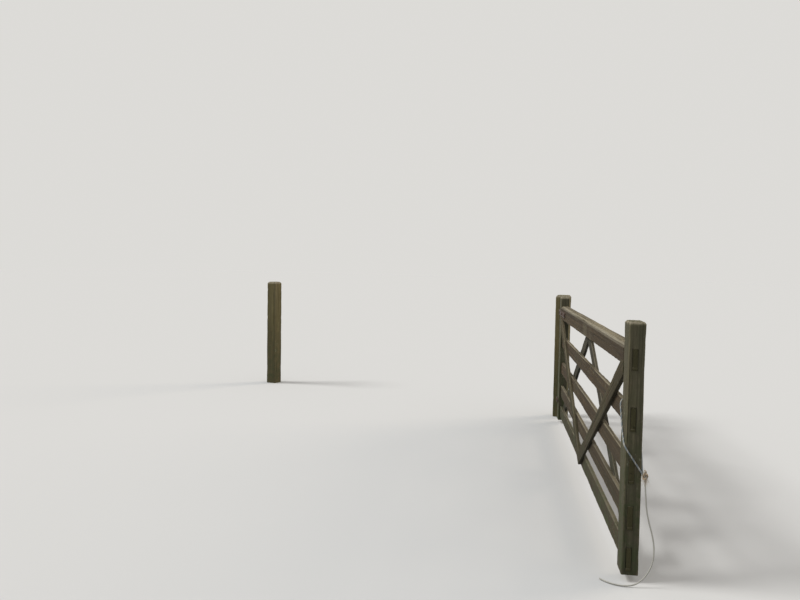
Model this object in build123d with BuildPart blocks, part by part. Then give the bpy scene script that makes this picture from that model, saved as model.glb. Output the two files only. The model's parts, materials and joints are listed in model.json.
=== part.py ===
"""A five-bar wooden field gate, hung open on its post, with the post that it shuts against.

Millimetres, +Z up. The origin is the centre of the hanging post's foot, at ground level.
+X runs along the gateway, from the clapping post to the hanging post. The gate stands open
towards -Y. Its own places are given as u, along the gate from the hinge pins, v, across the
gate, and z, above the ground.
"""

import os
from math import atan2, cos, degrees, hypot, radians, sin, tan

from build123d import *

# Gateway and posts
hanging_post_size = 130
hanging_post_height = 1265
clapping_post_size = 130
clapping_post_height = 1305
post_bevel = 16
post_arris = 5
gateway_clear = 3620

# How far the gate stands open, in degrees from shut
open_angle = 110

# Gate frame
gate_length = 3600
gate_foot = 35
gate_thickness = 80
hanging_stile_width = 125
hanging_stile_top = 1257
head_stile_width = 125
head_stile_top = 1291
stile_bevel = 10
stile_arris = 5

# Rails
rail_thickness = 25
rail_depth = 105
rail_tops = {"second_rail": 869, "third_rail": 611, "fourth_rail": 380, "bottom_rail": 173}
top_rail_top = 1165
top_rail_heel_depth = 122
top_rail_head_depth = 100
top_rail_bevel = 16
top_rail_back_bevel = 8
top_tenon_shoulder = 10
tenon_proud = 2

# Wedges under the tenons
wedge_thick = 12
wedge_thin = 5
wedge_proud = 3

# Braces. The rails are set in by a brace's thickness, so the falling ones lie flush
brace_thickness = 20
brace_width = 90
brace_housing = 15

# Hinges
hinge_standoff = 95
heel_gap = 75
hook_offset = 40
pin_diameter = 19
pin_clearance = 0.5
pin_rise = 12
eye_wall = 11
shoulder_height = 22
shoulder_wall = 6
eye_lift = 0.4
strap_thickness = 8
strap_bend = 14
strap_bend_lead = 16
strap_end_round = 15
top_strap_depth = 50
top_strap_length = 560
bottom_strap_depth = 40
bottom_strap_length = 112
bolt_diameter = 12
bolt_clearance = 0.3
bolt_head_diameter = 28
bolt_head_height = 6
bolt_nut_size = 22
bolt_nut_height = 10
hook_nut_size = 34
hook_nut_height = 16
hook_washer_size = 60
hook_washer_thickness = 5
hook_thread_end = 10

# Twine on the head stile
twine_diameter = 8
twine_sides = 8
twine_gap = 0.3
loop_over_rail = 12
loop_slack = (58, 735)
loop_outer_top = 682
loop_outer_foot = 545
loop_bend = 9
loop_slack_bend = 60
loop_end_inset = 4
knot_width = 30
knot_height = 52
knot_middle = 18
knot_taper = 30
knot_drop = 5
tail_bend_share = 0.45
tail_points = [
    (7, -56, 520),
    (10, -58, 478),
    (13, -61, 436),
    (14, -66, 372),
    (16, -80, 308),
    (22, -98, 246),
    (29, -106, 182),
    (34, -100, 118),
    (42, -72, 60),
    (52, -28, 18),
    (56, 22, 5),
    (48, 72, 5),
    (24, 114, 5),
    (-8, 142, 5),
]

# Worked out from the sizes above
pivot = Vector(hook_offset, -(hanging_post_size / 2 + hinge_standoff), 0)
clapping_post_centre = -(gateway_clear + hanging_post_size / 2 + clapping_post_size / 2)
gate_heading = radians(180 + open_angle)
along = Vector(cos(gate_heading), sin(gate_heading), 0)
across = Vector(sin(gate_heading), -cos(gate_heading), 0)
heel_outer = heel_gap
heel_inner = heel_gap + hanging_stile_width
head_outer = heel_gap + gate_length
head_inner = head_outer - head_stile_width
mid_gate = (heel_inner + head_inner) / 2
half_gate = gate_thickness / 2
rail_face = half_gate - brace_thickness
rail_back = rail_face - rail_thickness
top_rail_heel_bottom = top_rail_top - top_rail_heel_depth
top_rail_head_bottom = top_rail_top - top_rail_head_depth
top_rail_rise = (top_rail_head_bottom - top_rail_heel_bottom) / (head_inner - heel_inner)
bottom_rail_bottom = rail_tops["bottom_rail"] - rail_depth
strap_outer = half_gate + strap_thickness
eye_outer = pin_diameter / 2 + pin_clearance + eye_wall
top_strap_height = top_rail_top - top_rail_heel_depth / 2
bottom_strap_height = (rail_tops["bottom_rail"] + rail_tops["fourth_rail"] - rail_depth) / 2


def gate_face(v=0.0):
    """A plane along the gate, v out from its middle: x is u and y is z."""
    return Plane(origin=pivot + across * v, x_dir=along, z_dir=across)


def gate_level(z):
    """A level plane over the pins: x is u and y is minus v."""
    return Plane(origin=pivot + Vector(0, 0, z), x_dir=along, z_dir=(0, 0, 1))


def gate_point(u, v, z):
    """A point of the gate."""
    return pivot + along * u + across * v + Vector(0, 0, z)


def write(piece, name):
    """Label the finished piece and write it."""
    piece.part.label = name
    export_step(piece.part, f"parts/{name}.step")


def top_rail_bottom(u):
    """Height of the top rail's sloping underside at u."""
    return top_rail_heel_bottom + top_rail_rise * (u - heel_inner)


def tenon_band(name, at_head):
    """Lowest and highest point of a rail's tenon in one of the stiles."""
    if name == "top_rail":
        low = top_rail_head_bottom if at_head else top_rail_heel_bottom
        return low, top_rail_top - top_tenon_shoulder
    return rail_tops[name] - rail_depth, rail_tops[name]


def mortise_outline(name, at_head):
    """The mortise from the side: its floor falls outwards, to take the wedge."""
    low, high = tenon_band(name, at_head)
    inner, outer = (head_inner, head_outer) if at_head else (heel_inner, heel_outer)
    return [(inner, high), (outer, high), (outer, low - wedge_thick), (inner, low - wedge_thin)]


def wedge_outline(name, at_head):
    """The wedge fills the mortise below the tenon, and stands a little proud."""
    low = tenon_band(name, at_head)[0]
    inner, outer = (head_inner, head_outer) if at_head else (heel_inner, heel_outer)
    run = outer - inner
    proud = outer + wedge_proud * (1 if at_head else -1)
    end_thick = wedge_thin + (wedge_thick - wedge_thin) * (proud - inner) / run
    return [(inner, low), (proud, low), (proud, low - end_thick), (inner, low - wedge_thin)]


def band_bolt_places(strap_length, height, count):
    """Evenly spaced bolts along a hinge strap, clear of its two ends."""
    first = heel_outer + hanging_stile_width / 2
    last = heel_outer + strap_length - strap_thickness * 4
    if count == 1:
        return [(first, height)]
    step = (last - first) / (count - 1)
    return [(first + step * i, height) for i in range(count)]


top_bolts = band_bolt_places(top_strap_length, top_strap_height, 3)
bottom_bolts = band_bolt_places(bottom_strap_length, bottom_strap_height, 1)
hook_heights = {
    "top": top_strap_height - top_strap_depth / 2 - eye_lift - shoulder_height / 2,
    "bottom": bottom_strap_height - bottom_strap_depth / 2 - eye_lift - shoulder_height / 2,
}
strap_depths = {"top": top_strap_depth, "bottom": bottom_strap_depth}


def make_post(name, x, size, height, bores):
    """A square sawn post with a weathered top, bored for the hooks' shanks."""
    with BuildPart() as post:
        with BuildSketch(Plane(origin=(x, 0, 0))):
            Rectangle(size, size)
        extrude(amount=height)
        chamfer(post.faces().sort_by(Axis.Z)[-1].edges(), post_bevel)
        chamfer(post.edges().filter_by(Axis.Z), post_arris)
        if bores:
            with BuildSketch(Plane.XZ.offset(size / 2)):
                with Locations(*bores):
                    Circle(pin_diameter / 2 + bolt_clearance)
            extrude(amount=-size, mode=Mode.SUBTRACT)
    write(post, name)


def make_stile(name, at_head):
    """An upright of the gate, with a through mortise for each rail."""
    inner, outer = (head_inner, head_outer) if at_head else (heel_outer, heel_inner)
    width = head_stile_width if at_head else hanging_stile_width
    top = head_stile_top if at_head else hanging_stile_top
    with BuildPart() as stile:
        with BuildSketch(gate_level(gate_foot)):
            with Locations(((inner + outer) / 2, 0)):
                Rectangle(width, gate_thickness)
        extrude(amount=top - gate_foot)
        chamfer(stile.faces().sort_by(Axis.Z)[-1].edges(), stile_bevel)
        chamfer(stile.edges().filter_by(Axis.Z), stile_arris)
        for rail in ["top_rail", *rail_tops]:
            with BuildSketch(gate_face(rail_back)):
                Polygon(*mortise_outline(rail, at_head), align=None)
            extrude(amount=rail_thickness, mode=Mode.SUBTRACT)
        if not at_head:
            with BuildSketch(gate_face()):
                with Locations(top_bolts[0], bottom_bolts[0]):
                    Circle(bolt_diameter / 2 + bolt_clearance)
            extrude(amount=half_gate, both=True, mode=Mode.SUBTRACT)
    write(stile, name)


def make_rail(name):
    """A sawn board that runs through both stiles, as its own tenons."""
    low, high = tenon_band(name, True)
    with BuildPart() as rail:
        with BuildSketch(gate_face(rail_back)):
            with Locations(((heel_outer + head_outer) / 2, (low + high) / 2)):
                Rectangle(gate_length + 2 * tenon_proud, high - low)
        extrude(amount=rail_thickness)
    write(rail, name)


def brace_sketch(foot, head, heel_side):
    """A board from foot to head, cut to the stile, the gate's middle and the two outer rails."""
    du, dz = head[0] - foot[0], head[1] - foot[1]
    reach = hypot(du, dz)
    centre = ((foot[0] + head[0]) / 2, (foot[1] + head[1]) / 2)
    near, far = (heel_inner, mid_gate) if heel_side else (mid_gate, head_inner)
    edge = [
        (near, bottom_rail_bottom),
        (far, bottom_rail_bottom),
        (far, top_rail_bottom(far) + brace_housing),
        (near, top_rail_bottom(near) + brace_housing),
    ]
    with BuildSketch(gate_face(0)) as outline:
        with Locations(centre):
            Rectangle(reach * 2, brace_width, rotation=degrees(atan2(dz, du)))
        Polygon(*edge, align=None, mode=Mode.INTERSECT)
    return outline


def brace_ends(falls_to_middle, heel_side):
    """Foot and head of a brace's centre line."""
    outer = heel_inner if heel_side else head_inner
    foot = (mid_gate if falls_to_middle else outer, bottom_rail_bottom + rail_depth / 2)
    top_u = outer if falls_to_middle else mid_gate
    return foot, (top_u, top_rail_bottom(top_u))


# Name, whether it falls to the gate's middle, whether it is on the heel side
braces = [
    ("heel_falling_brace", True, True),
    ("head_falling_brace", True, False),
    ("heel_rising_brace", False, True),
    ("head_rising_brace", False, False),
]


def add_brace(falls_to_middle, heel_side, mode):
    """Add or cut one brace: falling braces lie on the rails' +v face, rising ones on -v."""
    outline = brace_sketch(*brace_ends(falls_to_middle, heel_side), heel_side)
    near_v = rail_face if falls_to_middle else rail_back - brace_thickness
    board = extrude(outline.sketch, amount=brace_thickness, mode=Mode.PRIVATE)
    add(board.moved(Location(across * near_v)), mode=mode)


def make_brace(name, falls_to_middle, heel_side):
    """One brace, a sawn board nailed across the rails."""
    with BuildPart() as brace:
        add_brace(falls_to_middle, heel_side, Mode.ADD)
    write(brace, name)


def make_top_rail():
    """The top rail: deepest at the heel, with bevelled top edges and through tenons."""
    with BuildPart() as rail:
        with BuildSketch(gate_face()):
            Polygon(
                (heel_inner, top_rail_heel_bottom),
                (head_inner, top_rail_head_bottom),
                (head_inner, top_rail_top),
                (heel_inner, top_rail_top),
                align=None,
            )
        extrude(amount=half_gate, both=True)
        for side, bevel in ((-1, top_rail_bevel), (0, top_rail_back_bevel)):
            long_edges = rail.faces().sort_by(Axis.Z)[-1].edges().sort_by(SortBy.LENGTH)[-2:]
            chamfer(long_edges.sort_by(Axis(pivot, across))[side], bevel)
        for at_head in (True, False):
            low, high = tenon_band("top_rail", at_head)
            start = mid_gate
            end = head_outer + tenon_proud if at_head else heel_outer - tenon_proud
            seat = (mid_gate - heel_inner) * top_rail_rise
            mid_low = low + (seat if not at_head else -seat)
            with BuildSketch(gate_face(rail_back)):
                Polygon(
                    (start, mid_low),
                    (head_inner if at_head else heel_inner, low),
                    (end, low),
                    (end, high),
                    (start, high),
                    align=None,
                )
            extrude(amount=rail_thickness)
        for _, falls_to_middle, heel_side in braces:
            add_brace(falls_to_middle, heel_side, Mode.SUBTRACT)
        with BuildSketch(gate_face()):
            with Locations(*top_bolts):
                Circle(bolt_diameter / 2 + bolt_clearance)
        extrude(amount=half_gate, both=True, mode=Mode.SUBTRACT)
    write(rail, "top_rail")


def make_wedges(name, at_head):
    """The wedges under one stile's tenons, numbered from the top."""
    for number, rail in enumerate(["top_rail", *rail_tops], start=1):
        with BuildPart() as wedge:
            with BuildSketch(gate_face(rail_back)):
                Polygon(*wedge_outline(rail, at_head), align=None)
            extrude(amount=rail_thickness)
        write(wedge, f"{name}_{number}")


def make_hook(name, height, strap_depth):
    """A hook: a shank bolted through the post, and the pin that the gate turns on."""
    pin_radius = pin_diameter / 2
    shank_end = hanging_post_size / 2 + hook_washer_thickness + hook_nut_height + hook_thread_end
    with BuildPart() as hook:
        with BuildSketch(Plane.XZ.offset(-shank_end)):
            with Locations((hook_offset, height)):
                Circle(pin_radius)
        extrude(amount=shank_end - pivot.Y)
        with BuildSketch(gate_level(height - shoulder_height / 2)):
            Circle(pin_radius + shoulder_wall)
        extrude(amount=shoulder_height)
        with BuildSketch(gate_level(height)):
            Circle(pin_radius)
        extrude(amount=shoulder_height / 2 + eye_lift + strap_depth + pin_rise)
        chamfer(hook.faces().sort_by(Axis.Z)[-1].edges(), pin_radius / 4)
    write(hook, name)


def make_hook_nut(name, height):
    """The square washer and nut that draw a hook's shank tight behind the post."""
    with BuildPart() as nut:
        with BuildSketch(Plane.XZ.offset(-hanging_post_size / 2)):
            with Locations((hook_offset, height)):
                Rectangle(hook_washer_size, hook_washer_size)
        extrude(amount=-hook_washer_thickness)
        with BuildSketch(Plane.XZ.offset(-hanging_post_size / 2 - hook_washer_thickness)):
            with Locations((hook_offset, height)):
                Rectangle(hook_nut_size, hook_nut_size)
        extrude(amount=-hook_nut_height)
        with BuildSketch(Plane.XZ.offset(-hanging_post_size / 2)):
            with Locations((hook_offset, height)):
                Circle(pin_diameter / 2 + bolt_clearance)
        extrude(amount=-hook_washer_thickness - hook_nut_height, mode=Mode.SUBTRACT)
    write(nut, name)


def make_band(name, strap_length, strap_depth, height, bolts):
    """A double strap hinge: an eye for the pin, and two arms that part to clasp the gate."""
    arm_v = eye_outer - strap_thickness / 2
    strap_v = half_gate + strap_thickness / 2
    strap_end = heel_outer + strap_length
    with BuildPart() as band:
        for side in (1, -1):
            with BuildSketch(gate_level(height - strap_depth / 2)):
                with BuildLine() as arm:
                    FilletPolyline(
                        (0, side * arm_v),
                        (eye_outer + strap_bend, side * arm_v),
                        (heel_outer - strap_bend_lead, side * strap_v),
                        (strap_end, side * strap_v),
                        radius=strap_bend,
                    )
                trace(arm.line, line_width=strap_thickness)
            extrude(amount=strap_depth)
        with BuildSketch(gate_level(height - strap_depth / 2)):
            Circle(eye_outer)
        extrude(amount=strap_depth)
        with BuildSketch(gate_face()):
            with Locations(((strap_end - eye_outer) / 2, height)):
                RectangleRounded(strap_end + eye_outer, strap_depth, strap_end_round)
            with Locations((0, height)):
                Rectangle(2 * eye_outer, strap_depth)
        extrude(amount=strap_outer, both=True, mode=Mode.INTERSECT)
        with BuildSketch(gate_level(height - strap_depth / 2)):
            Circle(pin_diameter / 2 + pin_clearance)
        extrude(amount=strap_depth, mode=Mode.SUBTRACT)
        with BuildSketch(gate_face()):
            with Locations(*bolts):
                Circle(bolt_diameter / 2 + bolt_clearance)
        extrude(amount=strap_outer, both=True, mode=Mode.SUBTRACT)
    write(band, name)


def make_band_bolts(name, bolts):
    """Coach bolts through the straps and the timber, with square nuts on the -v side."""
    with BuildPart() as bolt:
        with BuildSketch(gate_face(-strap_outer)):
            with Locations(*bolts):
                Circle(bolt_diameter / 2)
        extrude(amount=2 * strap_outer)
        with BuildSketch(gate_face(strap_outer)):
            with Locations(*bolts):
                Circle(bolt_head_diameter / 2)
        extrude(amount=bolt_head_height)
        chamfer(bolt.faces().sort_by(Axis(pivot, across))[-len(bolts) :].edges(), bolt_head_height / 2)
        with BuildSketch(gate_face(-strap_outer)):
            with Locations(*bolts):
                Rectangle(bolt_nut_size, bolt_nut_size)
        extrude(amount=-bolt_nut_height)
    write(bolt, name)


def make_twine_loop():
    """The tie: one slack turn of twine round the head stile, over the second rail, to the knot."""
    out = twine_diameter / 2 + twine_gap
    end_out = out + tenon_proud
    inner = head_inner - out
    over = rail_tops["second_rail"] + loop_over_rail
    slack_u, slack_z = loop_slack
    corners = [
        gate_point(head_outer - loop_end_inset, -half_gate - out, loop_outer_foot + loop_end_inset),
        gate_point(inner, -half_gate - out, over),
        gate_point(inner, half_gate + out, over),
        gate_point(head_inner + slack_u, half_gate + out, slack_z),
        gate_point(head_outer + end_out, half_gate + out, loop_outer_top),
        gate_point(head_outer + end_out, -half_gate - loop_end_inset, loop_outer_foot),
    ]
    with BuildPart() as loop:
        with BuildLine() as path:
            FilletPolyline(*corners, radius=[loop_bend, loop_bend, loop_slack_bend, loop_bend])
        with BuildSketch(Plane(origin=corners[0], z_dir=path.line % 0)):
            RegularPolygon(twine_diameter / 2, twine_sides)
        sweep()
    write(loop, "twine_loop")


def make_knot():
    """The bunched knot beside the head stile's corner, widest at its middle."""
    out = twine_diameter / 2 + twine_gap
    centre = gate_point(head_outer + out, -half_gate - twine_gap - knot_width / 2, loop_outer_foot - knot_drop)
    with BuildPart() as knot:
        with BuildSketch(Plane(origin=centre, x_dir=along, z_dir=(0, 0, 1))):
            RegularPolygon(knot_width / 2, twine_sides)
        extrude(amount=knot_middle / 2, both=True)
        ends = knot.faces().filter_by(Plane.XY)
        extrude(ends, amount=(knot_height - knot_middle) / 2, taper=knot_taper)
    write(knot, "twine_knot")


def make_tail():
    """The twine's loose end, hung from the knot down to the ground."""
    points = [gate_point(head_outer + u, v, z) for u, v, z in tail_points]
    runs = [(b - a).length for a, b in zip(points, points[1:])]
    radii = []
    for i in range(1, len(points) - 1):
        turn = (points[i] - points[i - 1]).get_angle(points[i + 1] - points[i])
        radii.append(tail_bend_share * min(runs[i - 1], runs[i]) / tan(radians(turn / 2)))
    with BuildPart() as tail:
        with BuildLine() as path:
            FilletPolyline(*points, radius=radii)
        with BuildSketch(Plane(origin=points[0], z_dir=path.line % 0)):
            RegularPolygon(twine_diameter / 2, twine_sides)
        sweep()
    print("twine tail length", round(path.wires()[0].length), "smallest bend", round(min(radii)))
    write(tail, "twine_tail")


def main():
    """Build every piece."""
    os.makedirs("parts", exist_ok=True)
    bores = [(hook_offset, height) for height in hook_heights.values()]
    make_post("hanging_post", 0, hanging_post_size, hanging_post_height, bores)
    make_post("clapping_post", clapping_post_centre, clapping_post_size, clapping_post_height, [])
    for place, height in hook_heights.items():
        make_hook(f"{place}_hook", height, strap_depths[place])
        make_hook_nut(f"{place}_hook_nut", height)
    make_stile("hanging_stile", False)
    make_stile("head_stile", True)
    make_top_rail()
    for name in rail_tops:
        make_rail(name)
    for name, falls_to_middle, heel_side in braces:
        make_brace(name, falls_to_middle, heel_side)
    make_wedges("head_wedge", True)
    make_wedges("heel_wedge", False)
    make_band("top_hinge_band", top_strap_length, top_strap_depth, top_strap_height, top_bolts)
    make_band("bottom_hinge_band", bottom_strap_length, bottom_strap_depth, bottom_strap_height, bottom_bolts)
    make_band_bolts("top_band_bolts", top_bolts)
    make_band_bolts("bottom_band_bolts", bottom_bolts)
    make_twine_loop()
    make_knot()
    make_tail()


if __name__ == "__main__":
    main()
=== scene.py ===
"""A weathered five-bar field gate, hung open between its two posts.

Metres, +Z up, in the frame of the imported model. Places on the gate are also given as u, along the
gate from the hinge pins, v, across the gate, and z, above the ground. Places in a timber are given
as s, along its fibres, w, across its face, and h, through its thickness.
"""

import json
import math

import bmesh
import bpy
import numpy as np
from bpy.props import FloatProperty, FloatVectorProperty, IntProperty, PointerProperty
from mathutils import Matrix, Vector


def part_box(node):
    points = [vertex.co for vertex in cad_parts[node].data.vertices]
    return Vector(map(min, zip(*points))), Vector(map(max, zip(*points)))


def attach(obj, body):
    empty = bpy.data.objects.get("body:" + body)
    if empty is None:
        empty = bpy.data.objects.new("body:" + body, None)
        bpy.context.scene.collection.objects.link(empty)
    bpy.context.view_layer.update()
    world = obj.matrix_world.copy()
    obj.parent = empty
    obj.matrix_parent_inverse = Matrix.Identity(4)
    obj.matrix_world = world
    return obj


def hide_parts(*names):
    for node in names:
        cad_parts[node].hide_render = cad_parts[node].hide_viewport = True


bl_info = {
    "name": "Field Gate",
    "version": (1, 0, 0),
    "blender": (4, 5, 0),
    "location": "3D Viewport > Sidebar > Field Gate",
    "description": "Dresses a five-bar field gate and its posts in weathered timber, iron and twine",
    "category": "Object",
}

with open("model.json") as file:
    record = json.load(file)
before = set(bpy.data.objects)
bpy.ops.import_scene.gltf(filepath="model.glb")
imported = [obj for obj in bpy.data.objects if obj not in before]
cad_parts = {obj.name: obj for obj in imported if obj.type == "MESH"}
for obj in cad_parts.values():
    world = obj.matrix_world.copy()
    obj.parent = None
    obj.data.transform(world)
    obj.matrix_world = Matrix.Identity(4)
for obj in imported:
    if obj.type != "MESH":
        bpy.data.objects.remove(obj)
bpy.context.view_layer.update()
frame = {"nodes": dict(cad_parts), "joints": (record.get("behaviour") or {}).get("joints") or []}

# The gate's own axes, from its hinge: it stands open by the hinge's range below rest
hinge = frame["joints"][0]
heading = math.radians(180 - hinge["range_deg"][0])
pivot = np.array([hinge["pos_m"][0], hinge["pos_m"][1], 0.0])
gate_axes = np.array([
    [math.cos(heading), math.sin(heading), 0.0],
    [math.sin(heading), -math.cos(heading), 0.0],
    [0.0, 0.0, 1.0],
])

rail_names = ("top_rail", "second_rail", "third_rail", "fourth_rail", "bottom_rail")
falling_braces = ("heel_falling_brace", "head_falling_brace")
rising_braces = ("heel_rising_brace", "head_rising_brace")

# How far the falling braces stand proud of their CAD nodes, towards +v
falling_proud = 0.0012


def to_gate(points):
    """Places in the model as u, v, z."""
    return (points - pivot) @ gate_axes.T


def from_gate(points):
    """Places given as u, v, z in the model."""
    return np.asarray(points, float) @ gate_axes + pivot


def places_of(mesh):
    """The places of a mesh's points."""
    flat = np.empty(len(mesh.vertices) * 3, np.float32)
    mesh.vertices.foreach_get("co", flat)
    return flat.reshape(-1, 3).astype(float)


def node_points(name):
    """The corners of a CAD node as u, v, z."""
    return to_gate(places_of(frame["nodes"][name].data))


def gate_box(name):
    """Lowest and highest u, v, z of a CAD node."""
    points = node_points(name)
    return points.min(0), points.max(0)


def touching(values, place):
    """Which of the values lie within 1 mm of a place."""
    return np.abs(values - place) < 0.001


# Settings


def a_colour(label, description, default):
    """A setting for a colour."""
    return FloatVectorProperty(
        name=label, description=description, subtype="COLOR", size=3, default=default, min=0, max=1)


def a_length(label, description, default, low, high):
    """A setting for a length that stays between low and high."""
    return FloatProperty(
        name=label, description=description, unit="LENGTH", default=default, min=low, max=high)


def a_strength(label, description, default):
    """A setting for a strength, from 0 up."""
    return FloatProperty(name=label, description=description, default=default, min=0)


def an_angle(label, description, default):
    """A setting for an angle."""
    return FloatProperty(
        name=label, description=description, subtype="ANGLE", unit="ROTATION", default=default)


class FieldGateStage(bpy.types.PropertyGroup):
    """The floor, the lights and the camera."""

    floor_colour: a_colour(
        "Floor", "Colour of the floor and of the background", (0.602, 0.619, 0.642))
    bounce: FloatProperty(
        name="Bounce", description="Share of its own colour with which the floor lights the timber",
        default=0.30, min=0, max=1)
    key_strength: a_strength("Key light", "Strength of the soft light from the upper left", 2.1)
    rim_strength: a_strength("Warm light", "Strength of the low warm light from behind", 1.5)
    sky_strength: a_strength("Sky light", "Strength of the even light from all round", 0.56)
    backdrop: a_strength("Backdrop", "How bright the background looks: as bright as the floor", 0.72)
    camera_place: FloatVectorProperty(
        name="Camera place", description="Where the camera stands", subtype="TRANSLATION",
        unit="LENGTH", size=3, default=(1.82589, -7.08975, 1.54505))
    camera_yaw: an_angle("Camera yaw", "Turn of the camera to the right of +Y", -0.4857134)
    camera_pitch: an_angle("Camera pitch", "How far the camera looks down", 0.0506257)
    camera_roll: an_angle("Camera roll", "Tilt of the camera about its view", -0.0167486)
    focal_length: FloatProperty(
        name="Focal length", description="Focal length in millimetres on a 36 mm wide sensor",
        default=30.948, min=1)


class FieldGateTimber(bpy.types.PropertyGroup):
    """Sizes and colours of the timber."""

    arris: a_length("Worn arris", "Radius of the boards' worn edges", 0.0028, 0.0005, 0.01)
    cell: a_length("Cell", "Spacing of the lines along a board's faces", 0.006, 0.002, 0.03)
    ring_step: a_length("Station", "Spacing of the stations along a timber", 0.012, 0.004, 0.05)
    relief: a_length("Relief", "Height of the raised grain", 0.0006, 0, 0.003)
    mortise_gap: a_length("Mortise gap", "Gap between a tenon and its mortise", 0.0014, 0, 0.003)
    seed: IntProperty(name="Seed", description="Which grain and cracks the timbers get", default=11, min=1)
    post_colour: a_colour("Posts", "Main colour of the two posts", (0.196, 0.168, 0.076))
    stile_colour: a_colour("Stiles", "Main colour of the two stiles", (0.122, 0.116, 0.074))
    rail_colour: a_colour("Rails", "Main colour of the rails", (0.072, 0.048, 0.024))
    falling_colour: a_colour(
        "Falling braces", "Main colour of the falling braces", (0.064, 0.052, 0.022))
    # The rising braces' colour is darkened to paint in the shade that they lie in behind the rails
    rising_shaded_colour: a_colour(
        "Rising braces", "Main colour of the rising braces", (0.052, 0.050, 0.036))
    tan_colour: a_colour(
        "Tan", "Colour of the warmer patches where the grey has worn thin", (0.124, 0.080, 0.038))
    silver_colour: a_colour("Silvered", "Colour of bleached, silvered timber", (0.250, 0.218, 0.140))
    dark_colour: a_colour(
        "Dark", "Colour of cracks, wet grain and end grain", (0.026, 0.022, 0.016))
    algae_colour: a_colour(
        "Algae", "Colour of the green film on damp timber", (0.054, 0.066, 0.030))
    lichen_colour: a_colour("Lichen", "Colour of the lichen spots", (0.27, 0.28, 0.20))


class FieldGateMetal(bpy.types.PropertyGroup):
    """Colours of the ironwork and sizes of the nails."""

    iron_colour: a_colour("Iron", "Colour of bare, dull iron", (0.050, 0.044, 0.040))
    rust_colour: a_colour("Rust", "Colour of bright rust", (0.165, 0.062, 0.024))
    forged_edge: a_length("Forged edge", "Rounding of the ironwork's edges", 0.0012, 0.0002, 0.004)
    nail_head: a_length("Nail head", "Diameter of a nail's head", 0.0095, 0.004, 0.02)
    nail_rise: a_length("Nail rise", "How far a nail's head stands out", 0.0016, 0.0002, 0.005)


class FieldGateTwine(bpy.types.PropertyGroup):
    """Sizes and colours of the twine."""

    diameter: a_length("Diameter", "Diameter of the twine", 0.008, 0.002, 0.02)
    pitch: a_length("Lay", "Length of one turn of the twine's strands", 0.034, 0.01, 0.1)
    blue_colour: a_colour("Faded blue", "Colour of the blue strands", (0.185, 0.232, 0.278))
    white_colour: a_colour("Dirty white", "Colour of the white strands", (0.500, 0.492, 0.450))
    frayed_colour: a_colour(
        "Frayed", "Colour of the weathered knot and its frayed end", (0.400, 0.285, 0.175))


# Shader arithmetic


class Wire:
    """A node's output that takes part in Python sums: numbers add Math nodes, vectors Vector Math."""

    def __init__(self, finish, socket):
        self.finish, self.socket = finish, socket

    def __add__(self, other):
        return self.finish.calc("ADD", self, other)

    def __radd__(self, other):
        return self.finish.calc("ADD", other, self)

    def __sub__(self, other):
        return self.finish.calc("SUBTRACT", self, other)

    def __rsub__(self, other):
        return self.finish.calc("SUBTRACT", other, self)

    def __mul__(self, other):
        return self.finish.calc("MULTIPLY", self, other)

    def __rmul__(self, other):
        return self.finish.calc("MULTIPLY", other, self)


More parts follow.
